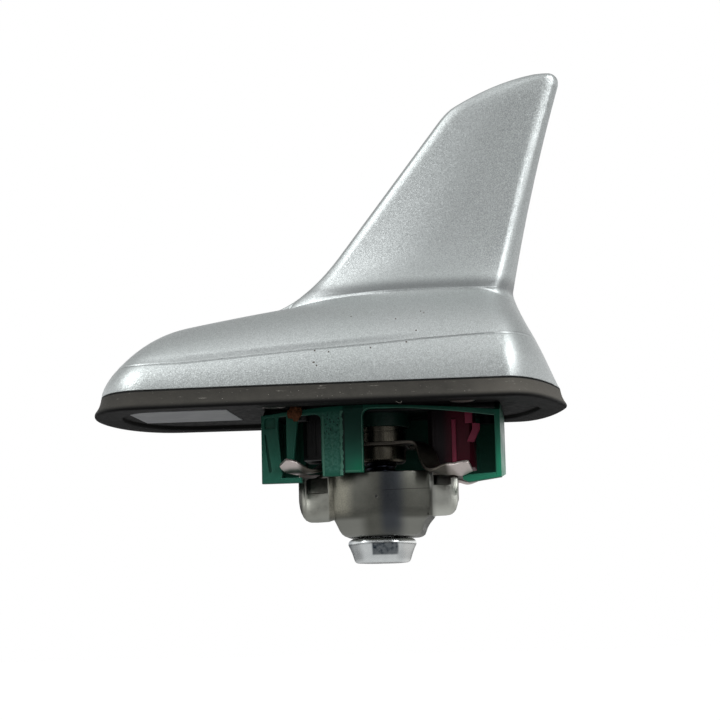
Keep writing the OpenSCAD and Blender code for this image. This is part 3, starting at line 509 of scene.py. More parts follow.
def fin_top(x):
    lead = 44.9 + (x + 5.9) / tan(LEAD_LEAN)
    crest = TIP_Z - 0.03 * np.maximum(0, 44.6 - x) ** 1.75
    return smooth_min(lead, crest, 1.5)


def front_top(x):
    return smooth_max(body_top(x), fin_top(x), 12)


REAR_LIMIT = 47.73


def rear_at(z):
    full = clamp01((z - COVER_Z) / (SHOULDER_Z - COVER_Z))
    tail = TAIL_TURN + (COVER_TAIL - TAIL_TURN) * (1 - full ** (1 / TAIL_ROUND)) ** (1 / TAIL_FULL)
    up = np.maximum(0, z - (TIP_Z - 3.6))
    corner = 3.6 - np.sqrt(np.maximum(0, 3.6 ** 2 - up * up))
    trail = 35.4 + 0.2 * (z - 33.8) + 0.00109 * (z - 33.8) ** 2 - corner
    return np.minimum(REAR_LIMIT, smooth_max(tail, trail, 6 * clamp01((z - COVER_Z) / 12) + 0.01))


def rounding(q):
    return np.sqrt(1 - (1 - clamp01(q)) ** 2)


def cover_half(xs, z, x0, x1, steep):
    rise = clamp01((z - COVER_Z) / np.maximum(0.01, body_top(xs) - COVER_Z))
    body = foot_half(xs, SEAL_FLARE) * np.sqrt(1 - rise ** 2.2)
    lead = mix(-5.9 + (z - 44.9) * tan(LEAD_LEAN), x0, clamp01((z - 24) / 7))
    t = clamp01((z - SHOULDER_Z) / (TIP_Z - SHOULDER_Z - 3))
    most = FIN_TIP_HALF + (FIN_ROOT_HALF - FIN_TIP_HALF) * (1 - t) ** 1.3
    u = clamp01((xs - lead) / max(0.01, x1 - lead))
    belly = 0.5 + 0.5 * np.sin(pi / 2 * np.minimum(1, u / 0.6))
    flare = (ROOT_FLARE * exp(-max(0, z - SHOULDER_Z + 1) / 4.5)
             * np.sin(pi / 2 * np.minimum(1, u / 0.5)) ** 2 * rounding((1 - u) / 0.3))
    fin = ((most * belly * rounding(np.maximum(0, (xs - lead) * steep / 3)) + flare)
           * rounding(np.maximum(0, (x1 - xs) / 4.2)))
    end = rounding((xs - x0) / 1.5) * rounding((x1 - xs) / 1.5)
    return smooth_max(body, fin, 5 * clamp01((z - COVER_Z) / 6) + 0.01) * end


def seam_height(x):
    places = [-72, -60, -45, -30, -15, 0, 13, 28, 46]
    heights = [11.5, 11.4, 11.3, 12.2, 13.3, 13.9, 14.9, 15.6, 16.1]
    return np.interp(x, places, heights)


def cover_stations():
    """Front stations of the cover's rings, found from wanted heights."""
    xs = np.linspace(COVER_NOSE + 0.001, 44, 6000)
    zs = np.maximum.accumulate(front_top(xs) + np.arange(6000) * 1e-7)
    wanted = np.concatenate([
        np.linspace(5.1, 10.2, 16), np.linspace(10.3, 17.4, 90), np.linspace(17.6, 24, 20),
        np.linspace(24.2, 34, 56), np.linspace(34.5, 74, 64), np.linspace(74.4, 85.3, 34)])
    return np.interp(wanted, zs, xs), wanted


def cover_rows(n=190):
    xs = spread(COVER_NOSE, COVER_TAIL, n)
    half = foot_half(xs, SEAL_FLARE)
    half[0] = half[-1] = 0
    rows = [mirrored(xs, half, COVER_Z)]
    for x0, z in zip(*cover_stations()):
        x1 = float(rear_at(z))
        slope = float(front_top(x0 + 0.4) - front_top(x0 - 0.4)) / 0.8
        xs = spread(x0, x1, n)
        half = cover_half(xs, z, x0, x1, slope / sqrt(1 + slope * slope))
        half[0] = half[-1] = 0
        rows.append(mirrored(xs, half, z))
    return np.array(rows)


def grid_normals(rows):
    along = np.roll(rows, -1, 1) - np.roll(rows, 1, 1)
    up = np.gradient(rows, axis=0)
    normal = np.cross(along, up)
    return normal / np.maximum(1e-9, np.linalg.norm(normal, axis=2, keepdims=True))


def make_cover(material):
    rows = cover_rows()
    away = grid_normals(rows)
    above = rows[:, :, 2] - seam_height(rows[:, :, 0])
    fade = clamp01((46 - rows[:, :, 0]) / 12)
    groove = 0.16 * np.exp(-(above / 0.16) ** 2)
    valley = (0.2 * np.exp(-((above - 1) / 0.9) ** 2) * clamp01((rows[:, :, 0] + 62) / 20)
              * clamp01((16 - rows[:, :, 0]) / 24))
    rows = rows - away * ((groove + valley) * fade)[:, :, None]
    lip = foot_rows_inside(rows[0])
    piece = joined("cover_shell", [rows_part(np.concatenate([lip, rows]), (-1,))], None)
    dress(piece, material, "root", ["cover"])


def foot_rows_inside(rim):
    """The cover's rounded lower lip and a short way up its inside."""
    rows = []
    levels = [(2.2, 5.9), (2.2, COVER_Z + 0.1), (2, COVER_Z), (0.3, COVER_Z),
              (0.08, COVER_Z + 0.06)]
    for inset, z in levels:
        ring = rim.copy()
        shrink = (np.abs(rim[:, 1]) - inset) / np.maximum(1e-6, np.abs(rim[:, 1]))
        ring[:, 1] *= np.maximum(0, shrink)
        ring[:, 0] = np.clip(rim[:, 0], rim[:, 0].min() + inset, rim[:, 0].max() - inset)
        ring[:, 2] = z
        rows.append(ring)
    return np.array(rows)


def make_seal(material):
    profile = [(6.5, 1), (6.5, 0.25), (6.3, 0.02), (1.2, 0), (0.5, 0), (0.16, 0.1), (0.02, 0.35),
               (0, 0.65), (0.1, 1), (0.42, 1.5), (0.78, 2.1), (1.08, 2.8), (1.3, 3.5), (1.45, 4.2),
               (1.52, 4.62), (1.62, 4.78), (1.9, 4.84), (4.2, 4.86), (4.2, 1)]
    piece = joined("seal_ring", [rows_part([foot_ring(i, z) for i, z in profile], ())], 50)
    dress(piece, material, "root", ["base_seal"])


# Cut sheets and blocks


def cut_sheet(shapes, plane, low, high, bevel=0.2):
    """Vertices and faces of a flat piece with rounded edges.

    The first outline is the edge, the others are holes. They lie in the plane
    named, and the piece runs from low to high on the axis that is left.
    """
    curve = bpy.data.curves.new("outline", "CURVE")
    curve.dimensions, curve.fill_mode = "2D", "BOTH"
    curve.extrude = (high - low) / 2 - bevel
    curve.bevel_depth, curve.bevel_resolution, curve.offset = bevel, 2, -bevel
    for shape in shapes:
        line = curve.splines.new("POLY")
        line.points.add(len(shape) - 1)
        for point, (u, v) in zip(line.points, shape):
            point.co = (u, v, 0, 1)
        line.use_cyclic_u = True
    holder = placed("outline", curve)
    flat = holder.evaluated_get(bpy.context.evaluated_depsgraph_get()).to_mesh()
    middle = (low + high) / 2
    order = {"xz": (0, 2, 1), "yz": (2, 0, 1), "xy": (0, 1, 2)}[plane]
    points = [tuple((v.co.x, v.co.y, v.co.z + middle)[k] for k in order) for v in flat.vertices]
    faces = [tuple(f.vertices) for f in flat.polygons]
    bpy.data.objects.remove(holder)
    bpy.data.curves.remove(curve)
    return points, faces


def box_sheet(x, y, z, bevel=0.2):
    corners = [(x[0], z[0]), (x[1], z[0]), (x[1], z[1]), (x[0], z[1])]
    return cut_sheet([corners], "xz", y[0], y[1], bevel)


def joined(name, parts, sharp=35):
    """One piece from lists of vertices, in millimetres, and faces."""
    points, faces = [], []
    for some, sides in parts:
        faces += [tuple(i + len(points) for i in f) for f in sides]
        points += [tuple(p) for p in some]
    mesh = bpy.data.meshes.new(name)
    mesh.from_pydata([(x * MM, y * MM, z * MM) for x, y, z in points], [], faces)
    mesh.validate()
    return finish_mesh(name, mesh, sharp)


def rows_part(rows, caps=(0, -1)):
    """Vertices and faces over closed rows of points; the rows in caps are filled."""
    rows = np.asarray(rows, float)
    count, width = rows.shape[:2]
    faces = []
    for j in range(0, (count - 1) * width, width):
        for i in range(width):
            k = (i + 1) % width
            faces.append((j + i, j + k, j + width + k, j + width + i))
    if 0 in caps:
        faces.append(tuple(range(width))[::-1])
    if -1 in caps:
        faces.append(tuple((count - 1) * width + i for i in range(width)))
    return [tuple(p) for p in rows.reshape(-1, 3)], faces


def arc(cx, cy, r, a0, a1, n=8):
    return [(cx + r * cos(radians(a0 + (a1 - a0) * i / n)),
             cy + r * sin(radians(a0 + (a1 - a0) * i / n))) for i in range(n + 1)]


def circle(x, r):
    return arc(x, 0, r, 0, 350, 35)


def turned(profile, steps=96, centre=(0, 0)):
    """Lathe work: rings of (radius, height)."""
    turn = np.arange(steps) * 2 * pi / steps
    cx, cy = centre
    return np.array([[(cx + r * cos(a), cy + r * sin(a), z) for a in turn]
                     for r, z in profile])


# Plug frame, after the sizes that the solids have

FRAME_TOP, FRAME_FRONT, FRAME_BACK, FRAME_Y, FAR_Y = 1, 27.8, 30.8, 14.5, 14.2
FAR_DROP, WALL = 15, 1.6
BLACK_X, RED_X, SOCKET_W = -13, 18.2, 11.4
# Upper edge of the near wall, from its nose end to its tail end
ARCH = [(-27.8, -1), (-24, -0.5), (-20, 0), (-16, 0.4), (-12, 0.75), (-8, 0.95), (-3, 1),
        (3, 0.85), (9, 0.5), (15, 0.1), (21, -0.4), (27, -0.95), (30.8, -1.3)]


def beam_edge():
    return [(7.5 + (29.4 - 7.5) * i / 8, -0.1 - 2.5 * (i / 8) ** 1.3) for i in range(8, -1, -1)]


def near_wall(latch_gap):
    """Outline of the near wall from its upper nose corner, with its openings cut."""
    slot_left = [(-23.6, -1.4), (-23.6, -16.4)]
    if latch_gap:
        slot_left = [(-23.5, -1.4), (-23.7, -3.9), (-22.7, -15.4), (-23, -16.4)]
    return (ARCH + [(30.8, -17.7), (29.4, -17.7)] + beam_edge()
            + [(-0.9, -0.1)] + arc(-0.9, -1.9, 1.8, 90, 180, 6)
            + [(-2.7, -15.6), (-8, -15.6), (-8, -16.4), (-12.7, -16.4), (-13, -12.6), (-13, -2.6)]
            + arc(-14.6, -2.6, 1.6, 0, 90, 6)
            + [(-19.9, -1.4), (-18.6, -1), (-19.9, -12.6), (-21.6, -12.6), (-21.6, -1.2)]
            + slot_left
            + [(-18, -16.4), (-18, -17.7), (-27.8, -17.7)])[::-1]


def bead(path, radius):
    """Thin raised edge on the near wall, along a path in X and Z."""
    rows = []
    for i, (x, z) in enumerate(path):
        a, b = path[max(0, i - 1)], path[min(len(path) - 1, i + 1)]
        length = hypot(b[0] - a[0], b[1] - a[1])
        side = (-(b[1] - a[1]) / length, (b[0] - a[0]) / length)
        rows.append([(x + side[0] * u, v - FRAME_Y, z + side[1] * u)
                     for u, v in arc(0, 0, radius, 0, 315, 7)])
    return rows_part(rows)


def flash_line(x, y, top, foot, width, height, seed):
    """Ragged moulding flash that stands on the near wall."""
    rows = []
    steps = 90
    for i in range(steps + 1):
        z = top + (foot - top) * i / steps
        left = noise.noise((seed, z * 1.1, 0.3)) * 0.32 + noise.noise((seed, z * 4.1, 2)) * 0.14
        right = (noise.noise((seed + 7, z * 0.9, 0.3)) * 0.34
                 + noise.noise((seed, z * 3.3, 5)) * 0.16)
        tall = height * (0.75 + 0.5 * noise.noise((seed, z * 1.6, 9)))
        x0, x1 = x - width / 2 + left, x + width / 2 + right
        rows.append([(x0 - 0.25, y + 0.15, z), (x0, y - tall * 0.8, z), (x0 + 0.12, y - tall, z),
                     (x1 - 0.12, y - tall, z), (x1, y - tall * 0.8, z), (x1 + 0.25, y + 0.15, z)])
    return rows_part(rows)


def socket_hole(x):
    half = SOCKET_W / 2 + 0.05
    return [(x - half, -half), (x - half, half), (x + half, half), (x + half, -half)]


def make_frame(material):
    inner = -FRAME_Y + WALL
    recess = [(-27, -2), (-26.7, -1.7), (-24.6, -1.5), (-24.3, -1.8), (-24.3, -3.9), (-24.6, -4.2),
              (-26.7, -4.2), (-27, -3.9)]
    wedge = [(-27, -5.6), (-26.7, -5.7), (-25.3, -14.5), (-25.5, -15), (-25.9, -15),
             (-26.1, -14.5)]
    far = ([(-27.76, 0.96), (30.76, 0.96), (30.76, -15), (19.8, -15), (19.8, -12.3), (10.6, -12.3),
            (10.6, -15), (-14.2, -15), (-14.2, -13.6), (-22.6, -13.6), (-22.6, -15),
            (-27.76, -15)])[::-1]
    end = [(-13.2, -1.5), (-9, 0.94), (FAR_Y - 0.4, 0.94), (FAR_Y - 0.4, -FAR_DROP),
           (-11.5, -17.6), (-13.2, -17.6)]
    ceiling = [(-27.6, -9.2), (30.6, -9.2), (30.6, 13.6), (-27.6, 13.6)]
    foot = [(21.4, -18.1), (22.8, -18.8), (30.8, -17.7), (30.8, -16.5), (21.4, -17)]
    collar = [(6.65, 0.2), (6.65, -3.5), (6.8, -3.65), (7.4, -3.65), (7.55, -3.5), (7.55, 0.2)]
    parts = [
        cut_sheet([near_wall(True), recess, wedge], "xz", -FRAME_Y, -FRAME_Y + 0.95, 0.22),
        cut_sheet([near_wall(False)], "xz", -FRAME_Y + 0.8, inner, 0.1),
        cut_sheet([far], "xz", FAR_Y - WALL, FAR_Y, 0.2),
        cut_sheet([end], "yz", 0.06 - FRAME_FRONT, -FRAME_FRONT + WALL, 0.1),
        cut_sheet([end], "yz", FRAME_BACK - 1.34, FRAME_BACK - 0.06, 0.1),
        cut_sheet([ceiling, circle(0, 6.9), socket_hole(BLACK_X), socket_hole(RED_X)], "xy", -0.2,
                  0.92, 0.15),
        cut_sheet([foot], "xz", 0.06 - FRAME_Y, -FRAME_Y + 3, 0.2),
        box_sheet((-27.72, -18.08), (-13.3, -11.5), (-17.62, -16.5)),
        box_sheet((-21.6, -20.2), (inner - 0.2, inner + 3), (-12.6, 0.5)),
        box_sheet((-21.6, -20.2), (FAR_Y - WALL - 3, FAR_Y - WALL + 0.2), (-12.6, 0.5)),
        box_sheet((-12.5, -7.3), (inner - 0.2, inner + 0.8), (-15, 0.4)),
        rows_part(turned(collar, 64), ()),
        # raised border of the pillar's mottled field, and the smooth panel's edge bead
        box_sheet((-12.75, -12.2), (-14.62, -14.3), (-16.3, -1.4), 0.08),
        bead([(-2.9, -15.4), (-2.9, -1.9)] + arc(-0.9, -1.9, 2, 180, 90, 8) + [(3, 0.1)]
             + beam_edge()[::-1], 0.15),
        box_sheet((-7.2, -3.4), (-14.58, -14.3), (-15.45, -15), 0.06),
        flash_line(-8, -FRAME_Y, -0.4, -16.2, 0.5, 0.32, 3),
        flash_line(-10.3, -FRAME_Y, -5.4, -13.6, 0.15, 0.1, 8),
    ]
    piece = joined("frame_body", parts, 40)
    dress(piece, material, "root", ["plug_frame"])


def socket_outline(x, cut=1.1):
    h = SOCKET_W / 2
    return [(x - h + cut, -h), (x + h - cut, -h), (x + h, -h + cut), (x + h, h - cut),
            (x + h - cut, h), (x - h + cut, h), (x - h, h - cut), (x - h, -h + cut)]


def socket_parts(x, drop):
    outline, bore = socket_outline(x), circle(x, 4.4)
    parts = [cut_sheet([outline, bore], "xy", -drop, FRAME_TOP - 0.05, 0.3),
             cut_sheet([circle(x, 4.6)], "xy", -drop + 8, FRAME_TOP - 0.5, 0.02)]
    parts.append(rows_part(turned([(3.6, -0.5), (3.6, 3.4), (3.5, 3.5)], 48, (x, 0))))
    return parts


def rib(x0, x1, proud, z0, z1, bevel):
    """Upright or level rib on a socket's near face."""
    half = SOCKET_W / 2
    return box_sheet((x0, x1), (-half - proud, -half + 0.3), (z0, z1), bevel)


def make_sockets(black, bordeaux):
    half = SOCKET_W / 2
    parts = socket_parts(BLACK_X, 11.6)
    parts += [rib(BLACK_X - 3.2, BLACK_X - 2.4, 0.25, -10.8, -1, 0.12),
              rib(BLACK_X - 0.4, BLACK_X + 3.8, 0.2, -9.4, -8.8, 0.1)]
    piece = joined("black_socket_body", parts)
    dress(piece, black, "root", ["black_socket"])
    x = RED_X
    latch = [(x + 5.4, -3.6), (x + 7.4, -3.9), (x + 7.3, -5.3), (x + 5.8, -8.4), (x + 4, -8.2),
             (x + 5.4, -5.2)]
    parts = socket_parts(x, 14.6)
    parts += [
        rib(x + 0.2, x + 1.4, 0.7, -14.1, -2.5, 0.3),
        box_sheet((x + 3.6, x + 5.5), (-half - 0.9, -half + 0.2), (-3.6, -0.8), 0.2),
        rib(x - 4.4, x - 3.9, 0.2, -13.4, -1, 0.1),
        cut_sheet([latch[::-1]], "xz", -half - 1.6, -half + 0.2, 0.2),
    ]
    piece = joined("bordeaux_socket_body", parts)
    dress(piece, bordeaux, "root", ["red_socket"])


# Clamp: boss, claw, cup and bolt

BOSS_R, GROOVE_Z, CLAW_Z, CLAW_T, ARM_W = 6.5, -8.6, -8.55, 0.9, 4.9
# Each place of a route is x, y, height over the claw's plate and the strip's roll in degrees
NOSE_ROUTE = [(4.4, -7.3, 0.45, 0), (7, -8.2, 0.3, 0), (9.2, -8.7, -0.5, 0), (11, -8.9, -2.05, 0),
              (12.6, -9.1, -3.95, 0), (14.2, -10, -5.5, 0), (15.8, -11.4, -6.3, 2),
              (17.5, -13, -6.4, 6), (19.2, -14.6, -5.8, 16), (20.9, -16.1, -5, 28),
              (22.2, -17, -4.3, 32)]
TAIL_ROUTE = [(4.6, -6.9, 0.45, 0), (7.6, -7.1, 0.5, 0), (9.9, -7.6, 0.25, 0),
              (11.4, -8.5, -0.7, 0), (12.3, -9.6, -2.3, 0), (13, -10.8, -4.2, 0),
              (13.8, -12, -6.1, 0), (14.8, -13.1, -7.2, 6), (16.2, -14.2, -7.4, 12),
              (18.2, -15.3, -7, 24), (20.2, -16.2, -7.2, 30), (22.1, -16.7, -6.8, 30),
              (23.5, -16.9, -6.5, 30)]


def make_boss(material):
    r, foot = BOSS_R, -12.6
    profile = [(4, foot + 0.3), (4, foot), (r - 1.2, foot), (r - 0.75, foot + 0.06),
               (r - 0.35, foot + 0.25), (r - 0.1, foot + 0.6), (r, foot + 1.05),
               (r, GROOVE_Z - 0.15), (r - 0.1, GROOVE_Z), (r - 0.9, GROOVE_Z),
               (r - 0.9, GROOVE_Z + 1), (r - 0.1, GROOVE_Z + 1), (r, GROOVE_Z + 1.15), (r, -5.1),
               (r - 0.06, -5), (r - 0.06, -4.8), (r, -4.7), (r, 0.9), (5, 0.95), (5, 3.55),
               (6.2, 3.56), (5.6, 5.3), (4, 5.3)]
    bore = [(4, foot + 0.3), (4, 4.5), (0.02, 4.6)]
    parts = [rows_part(turned(profile, 128), ()), rows_part(turned(bore, 64), ())]
    piece = joined("boss_body", parts, 30)
    dress(piece, material, "root", ["clamp_boss"])


def smooth_route(route, per=6):
    """Curve through the route's points."""
    pts = [np.array(p, float) for p in route]
    pts = [2 * pts[0] - pts[1]] + pts + [2 * pts[-1] - pts[-2]]
    out = []
    for a, b, c, d in zip(pts, pts[1:], pts[2:], pts[3:]):
        for i in range(per):
            t = i / per
            low = 2 * b + (c - a) * t + (2 * a - 5 * b + 4 * c - d) * t ** 2
            out.append(0.5 * (low + (3 * b - a - 3 * c + d) * t ** 3))
    out.append(pts[-2])
    return out


def strip_section(width, thick, corner=0.2):
    """Rounded corners of a strip's section, as (across, up)."""
    out = []
    w, t = width / 2 - corner, thick / 2 - corner
    for sx, sy, a0 in ((1, -1, -90), (1, 1, 0), (-1, 1, 90), (-1, -1, 180)):
        out += [(sx * w + px, sy * t + py) for px, py in arc(0, 0, corner, a0, a0 + 90, 3)]
    return out


def arm_rows(route, flip_x, flip_y, tip):
    path = smooth_route(route)
    n = len(path) - 1
    rows = []
    for i, p in enumerate(path):
        along = (path[min(n, i + 1)] - path[max(0, i - 1)])[:3]
        along /= np.linalg.norm(along)
        level = np.array([-along[1], along[0], 0.0])
        level /= np.linalg.norm(level)
        roll = radians(p[3])
        side = level * cos(roll) - np.cross(along, level) * sin(roll)
        up = np.cross(along, side)
        left = (n - i) / 11.0
        taper = 1.0 if left > 1 else tip + (1 - tip) * sin(pi / 2 * left) ** 0.8
        ring = []
        for across, rise in strip_section(ARM_W * taper, CLAW_T):
            q = p[:3] + side * across + up * rise
            ring.append((q[0] * flip_x, q[1] * flip_y, q[2] + CLAW_Z))
        rows.append(ring)
    return rows


def make_claw(material):
    plate = [(-5, -8.3), (5, -8.3), (5, -7), (7.1, -5.4), (7.1, 5.4), (5, 7), (5, 8.3), (-5, 8.3),
             (-5, 7), (-7.1, 5.4), (-7.1, -5.4), (-5, -7)]
    parts = [cut_sheet([plate, circle(0, 5.65)], "xy", CLAW_Z, CLAW_Z + CLAW_T, 0.18)]
    for sx, route, tip in ((-1, NOSE_ROUTE, 0.55), (1, TAIL_ROUTE, 0.78)):
        for sy in (1, -1):
            parts.append(rows_part(arm_rows(route, sx, sy, tip)))
    piece = joined("claw_body", parts, 40)
    dress(piece, material, "root", ["claw_spring"])
    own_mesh(piece)


def hexagon(corners, soft, steps=96):
    """Hexagon with rounded corners, one flat toward the camera."""
    apothem = corners / 2 * cos(pi / 6)
    out = []
    for i in range(steps):
        a = 2 * pi * (i + 0.5) / steps
        fold = (a + pi / 6) % (pi / 3) - pi / 6
        flat = apothem / cos(pi / 6 - abs(fold))
        out.append((a, smooth_min(flat, corners / 2 - soft, soft)))
    return out


def make_bolt(material):
    head = [(12, -37.2), (13.6, -37.18), (14.3, -37.02), (14.9, -36.65), (15.3, -36.15),
            (16.1, -34.9), (17.1, -33.6), (17.8, -32.95), (18.1, -32.55), (18, -32.1),
            (17.6, -31.7), (16.9, -31.38), (15.8, -31.16), (13, -31.05)]
    rows = [[(r * cos(a), r * sin(a), z) for a, r in hexagon(corners, 0.5)]
            for corners, z in head]
    pitch, shank_r, depth, foot, length = 1.25, 3.95, 0.42, -31.7, 25.9
    rings, sides = 312, 48
    thread = []
    for z in [foot + i * (length / rings) for i in range(rings + 1)]:
        ring = []
        for k in range(sides):
            a = 2 * pi * k / sides
            ridge = 1 - abs(2 * ((z / pitch - k / sides) % 1) - 1)
            cut = depth * (1 - min(1, ridge * 1.5)) if z > foot + 1.9 else 0
            ring.append(((shank_r - cut) * cos(a), (shank_r - cut) * sin(a), z))
        thread.append(ring)
    parts = [rows_part(rows), rows_part(thread)]
    piece = joined("bolt_body", parts, 50)
    dress(piece, material, "bolt", ["clamp_bolt"])


CUP_T, CUP_RIM, CUP_FLOOR, EAR_Y = 1.2, -15.2, -29.5, 8.8
# Each level of the cup's outside is its left and right end, side depth, bow and height
CUP_LEVELS = [(-6.6, 7.6, 5, 2.2, -30.9), (-8, 9, 5.9, 2.4, -30.86), (-8.8, 9.8, 6.5, 2.7, -30.6),
              (-9.4, 10.4, 6.9, 2.9, -30.1), (-9.9, 10.7, 7.3, 3.1, -29.3),
              (-10.3, 11, 7.6, 3.2, -28.4), (-10.7, 11.5, 7.95, 3.3, -27.5),
              (-11.1, 12.1, 8.3, 3.4, -26.7), (-11.3, 12.7, 8.5, 3.5, -26),
              (-11.35, 13.1, 8.65, 3.55, -25.2), (-11.4, 13.3, 8.75, 3.6, -24),
              (-11.4, 13.4, 8.8, 3.6, -20), (-11.4, 13.4, 8.8, 3.6, -15.6),
              (-11.35, 13.35, 8.72, 3.6, -15.32), (-11.2, 13.2, 8.55, 3.6, CUP_RIM)]


def cup_ring(left, right, depth, bow, z, wall=0.0, n=44):
    """Straight sides and a bowed near and far face, with soft corners."""
    left, right = left + wall, right - wall
    xs = np.linspace(left, right, n)
    bowed = depth - wall + bow * (1 - (2 * (xs - left) / (right - left) - 1) ** 2)
    side = np.linspace(wall - depth, depth - wall, 22)[1:-1]
    ring = np.concatenate([
        np.stack([xs, -bowed], 1), np.stack([np.full(20, right), side], 1),
        np.stack([xs[::-1], bowed[::-1]], 1), np.stack([np.full(20, left), side[::-1]], 1)])
    for _ in range(3):
        ring = (np.roll(ring, 1, 0) + 2 * ring + np.roll(ring, -1, 0)) / 4
    return np.column_stack([ring, np.full(len(ring), z)])


def ear_part(stations, y, bend, thick=CUP_T):
    """Sheet from stations of x, foot and top; its free end bends toward the far side."""
    rows = []
    for x, low, high in stations:
        back = y + bend * max(0, abs(x) - 16.6) ** 1.6
        c = min(0.22, (high - low) / 3)
        far = back + thick
        rows.append([(x, back + c, low), (x, back, low + c), (x, back, high - c),
                     (x, back + c, high), (x, far - c, high), (x, far, high - c),
                     (x, far, low + c), (x, far - c, low)])
    return rows_part(rows)


def cut_window(piece, low):
    """Opens both sides of the cup for the claw's arms."""
    points, faces = box_sheet((-25, 25), (-6.9, 6.9), (low, CUP_RIM + 5), 0.3)
    mesh = bpy.data.meshes.new("window")
    mesh.from_pydata([tuple(c * MM for c in p) for p in points], [], faces)
    cutter = finish_mesh("window", mesh)
    step = piece.modifiers.new("window", "BOOLEAN")
    step.operation, step.object, step.solver = "DIFFERENCE", cutter, "EXACT"
    graph = bpy.context.evaluated_depsgraph_get()
    shaped = bpy.data.meshes.new_from_object(piece.evaluated_get(graph))
    piece.modifiers.clear()
    piece.data = shaped
    bpy.data.objects.remove(cutter)


def make_cup(material):
    rows = [cup_ring(*level) for level in CUP_LEVELS]
    inner = [level for level in CUP_LEVELS[::-1] if level[4] > CUP_FLOOR]
    rows += [cup_ring(*level, wall=CUP_T) for level in inner]
    barrel = joined("cup_barrel", [rows_part(rows)], 40)
    cut_window(barrel, -25.3)
    dress(barrel, material, "clamp", ["clamp_cup"])
    left = [(-19.75, -21.2, -17.2), (-19.7, -22.4, -16.7), (-19.5, -23.6, -16.5),
            (-19.2, -24.6, -16.42), (-18.6, -25.8, -16.4), (-18, -26.5, -16.4),
            (-17.8, -26.7, -16.6), (-17.75, -26.7, -19.9), (-17.2, -27, -19.93),
            (-16.6, -27.15, -19.93), (-15, -27.2, -19.93), (-12.35, -27.1, -19.93),
            (-12.3, -27.1, -15.9), (-12, -27, -15.6), (-10.6, -26.6, -15.5)]
    right = [(12.4, -26.2, -15.8), (13.7, -26.4, -15.8), (13.75, -26.4, -18.7),
             (16.6, -26.35, -18.72), (17.6, -26.2, -18.72), (18.1, -26, -18.7),
             (18.15, -25.95, -17.1), (18.6, -25.6, -16.9), (19.1, -24.9, -16.9),
             (19.5, -23.7, -17.1), (19.7, -22.2, -17.4), (19.75, -20.8, -17.9)]
    far = [(-20.3, -21.5, -15.6), (-19.4, -23.4, -15.1), (-17.2, -24.6, -15), (-11, -24.8, -15)]
    far_right = [(12.6, -24.8, -15), (16.6, -24.4, -15), (18.2, -23.2, -15.1),
                 (18.9, -21.4, -15.6)]
    ears = joined("cup_ears", [
        ear_part(left, -EAR_Y, 0.22), ear_part(right, -EAR_Y, 0.08),
        ear_part(far, EAR_Y - CUP_T, 0), ear_part(far_right, EAR_Y - CUP_T, 0)], 50)
    dress(ears, material, "clamp", ["clamp_cup"])


def make_heads(material):
    """Domed heads of the screws that hold the cover, with plain shanks."""
    profile = [(0.02, 0.42), (1.4, 0.42), (2.6, 0.46), (3.1, 0.62), (3.35, 0.95), (3.4, 1.4),
               (3.4, 2.2), (1.4, 2.2), (1.4, 9.8), (0.02, 9.8)]
    places = [(-24, -19), (-24, 19), (22, -18.3), (22, 18.3)]
    parts = [rows_part(turned(profile, 56, place), ()) for place in places]
    piece = joined("cover_screw_heads", parts, 50)
    dress(piece, material, "root", ["cover_screws"])


# Dirt


def make_lump(name, centre, size, material, seed):
    ball = bmesh.new()
    bmesh.ops.create_icosphere(ball, subdivisions=4, radius=1.0)
    for v in ball.verts:
        bulge = (1 + 0.42 * noise.noise(v.co * 1.7 + Vector((seed, 0, 0)))
                 + 0.16 * noise.noise(v.co * 5 + Vector((0, seed, 0))))
        v.co = Vector([c + v.co[k] * size[k] * bulge for k, c in enumerate(centre)]) * MM
    mesh = bpy.data.meshes.new(name)
    ball.to_mesh(mesh)
    ball.free()
    piece = finish_mesh(name, mesh)
    dress(piece, material, "root")


def make_thread(name, path, radius, material):
    path = smooth_route(path, 8)
    turn = np.arange(6) * pi / 3
    rows = []
    for i, p in enumerate(path):
        along = path[min(len(path) - 1, i + 1)] - path[max(0, i - 1)]
        along /= np.linalg.norm(along)
        side = np.cross(along, (0.1, 0.3, 0.9))
        side /= np.linalg.norm(side)
        up = np.cross(along, side)
        rows.append([p + radius * (cos(a) * side + sin(a) * up) for a in turn])
    piece = joined(name, [rows_part(rows)], 60)
    dress(piece, material, "root")


# Studio


def make_studio():
    world = bpy.data.worlds.new("studio")
    bpy.context.scene.world = world
    world.use_nodes = True
    world.node_tree.nodes.clear()
    sky = Nodes(world.node_tree)

    def seen_by(kind):
        return sky.node("ShaderNodeLightPath", out="Is " + kind + " Ray")

    def shade(strength):
        return sky.node("ShaderNodeBackground", None, (1.0,) * 3, strength)

    x, y, z = sky.split(sky.node("ShaderNodeTexCoord", out="Generated"))
    # ahead: dark about the camera, bright on both sides and in a band overhead; white low behind
    front = y.fall(-0.15, 0.35)
    band = (z - 0.78).abs().fall(0.0, 0.55) * 0.4
    ahead = band + 0.11 + x.fall(-0.42, -0.04) * 0.95 + x.rise(0.14, 0.55) * 0.9
    behind = z.fall(0.15, 0.5) * 0.7 + 0.3
    level = front * ahead + (1.0 - front) * behind
    soft = z.rise(-0.1, 0.7) * 0.5 + 0.22
    first = sky.node("ShaderNodeMixShader", None, seen_by("Glossy"), shade(soft), shade(level))
    clear = seen_by("Camera").at_least(seen_by("Transmission"))
    last = sky.node("ShaderNodeMixShader", None, clear, first, shade(1.0))
    sky.feed(sky.raw("ShaderNodeOutputWorld").inputs[0], last)


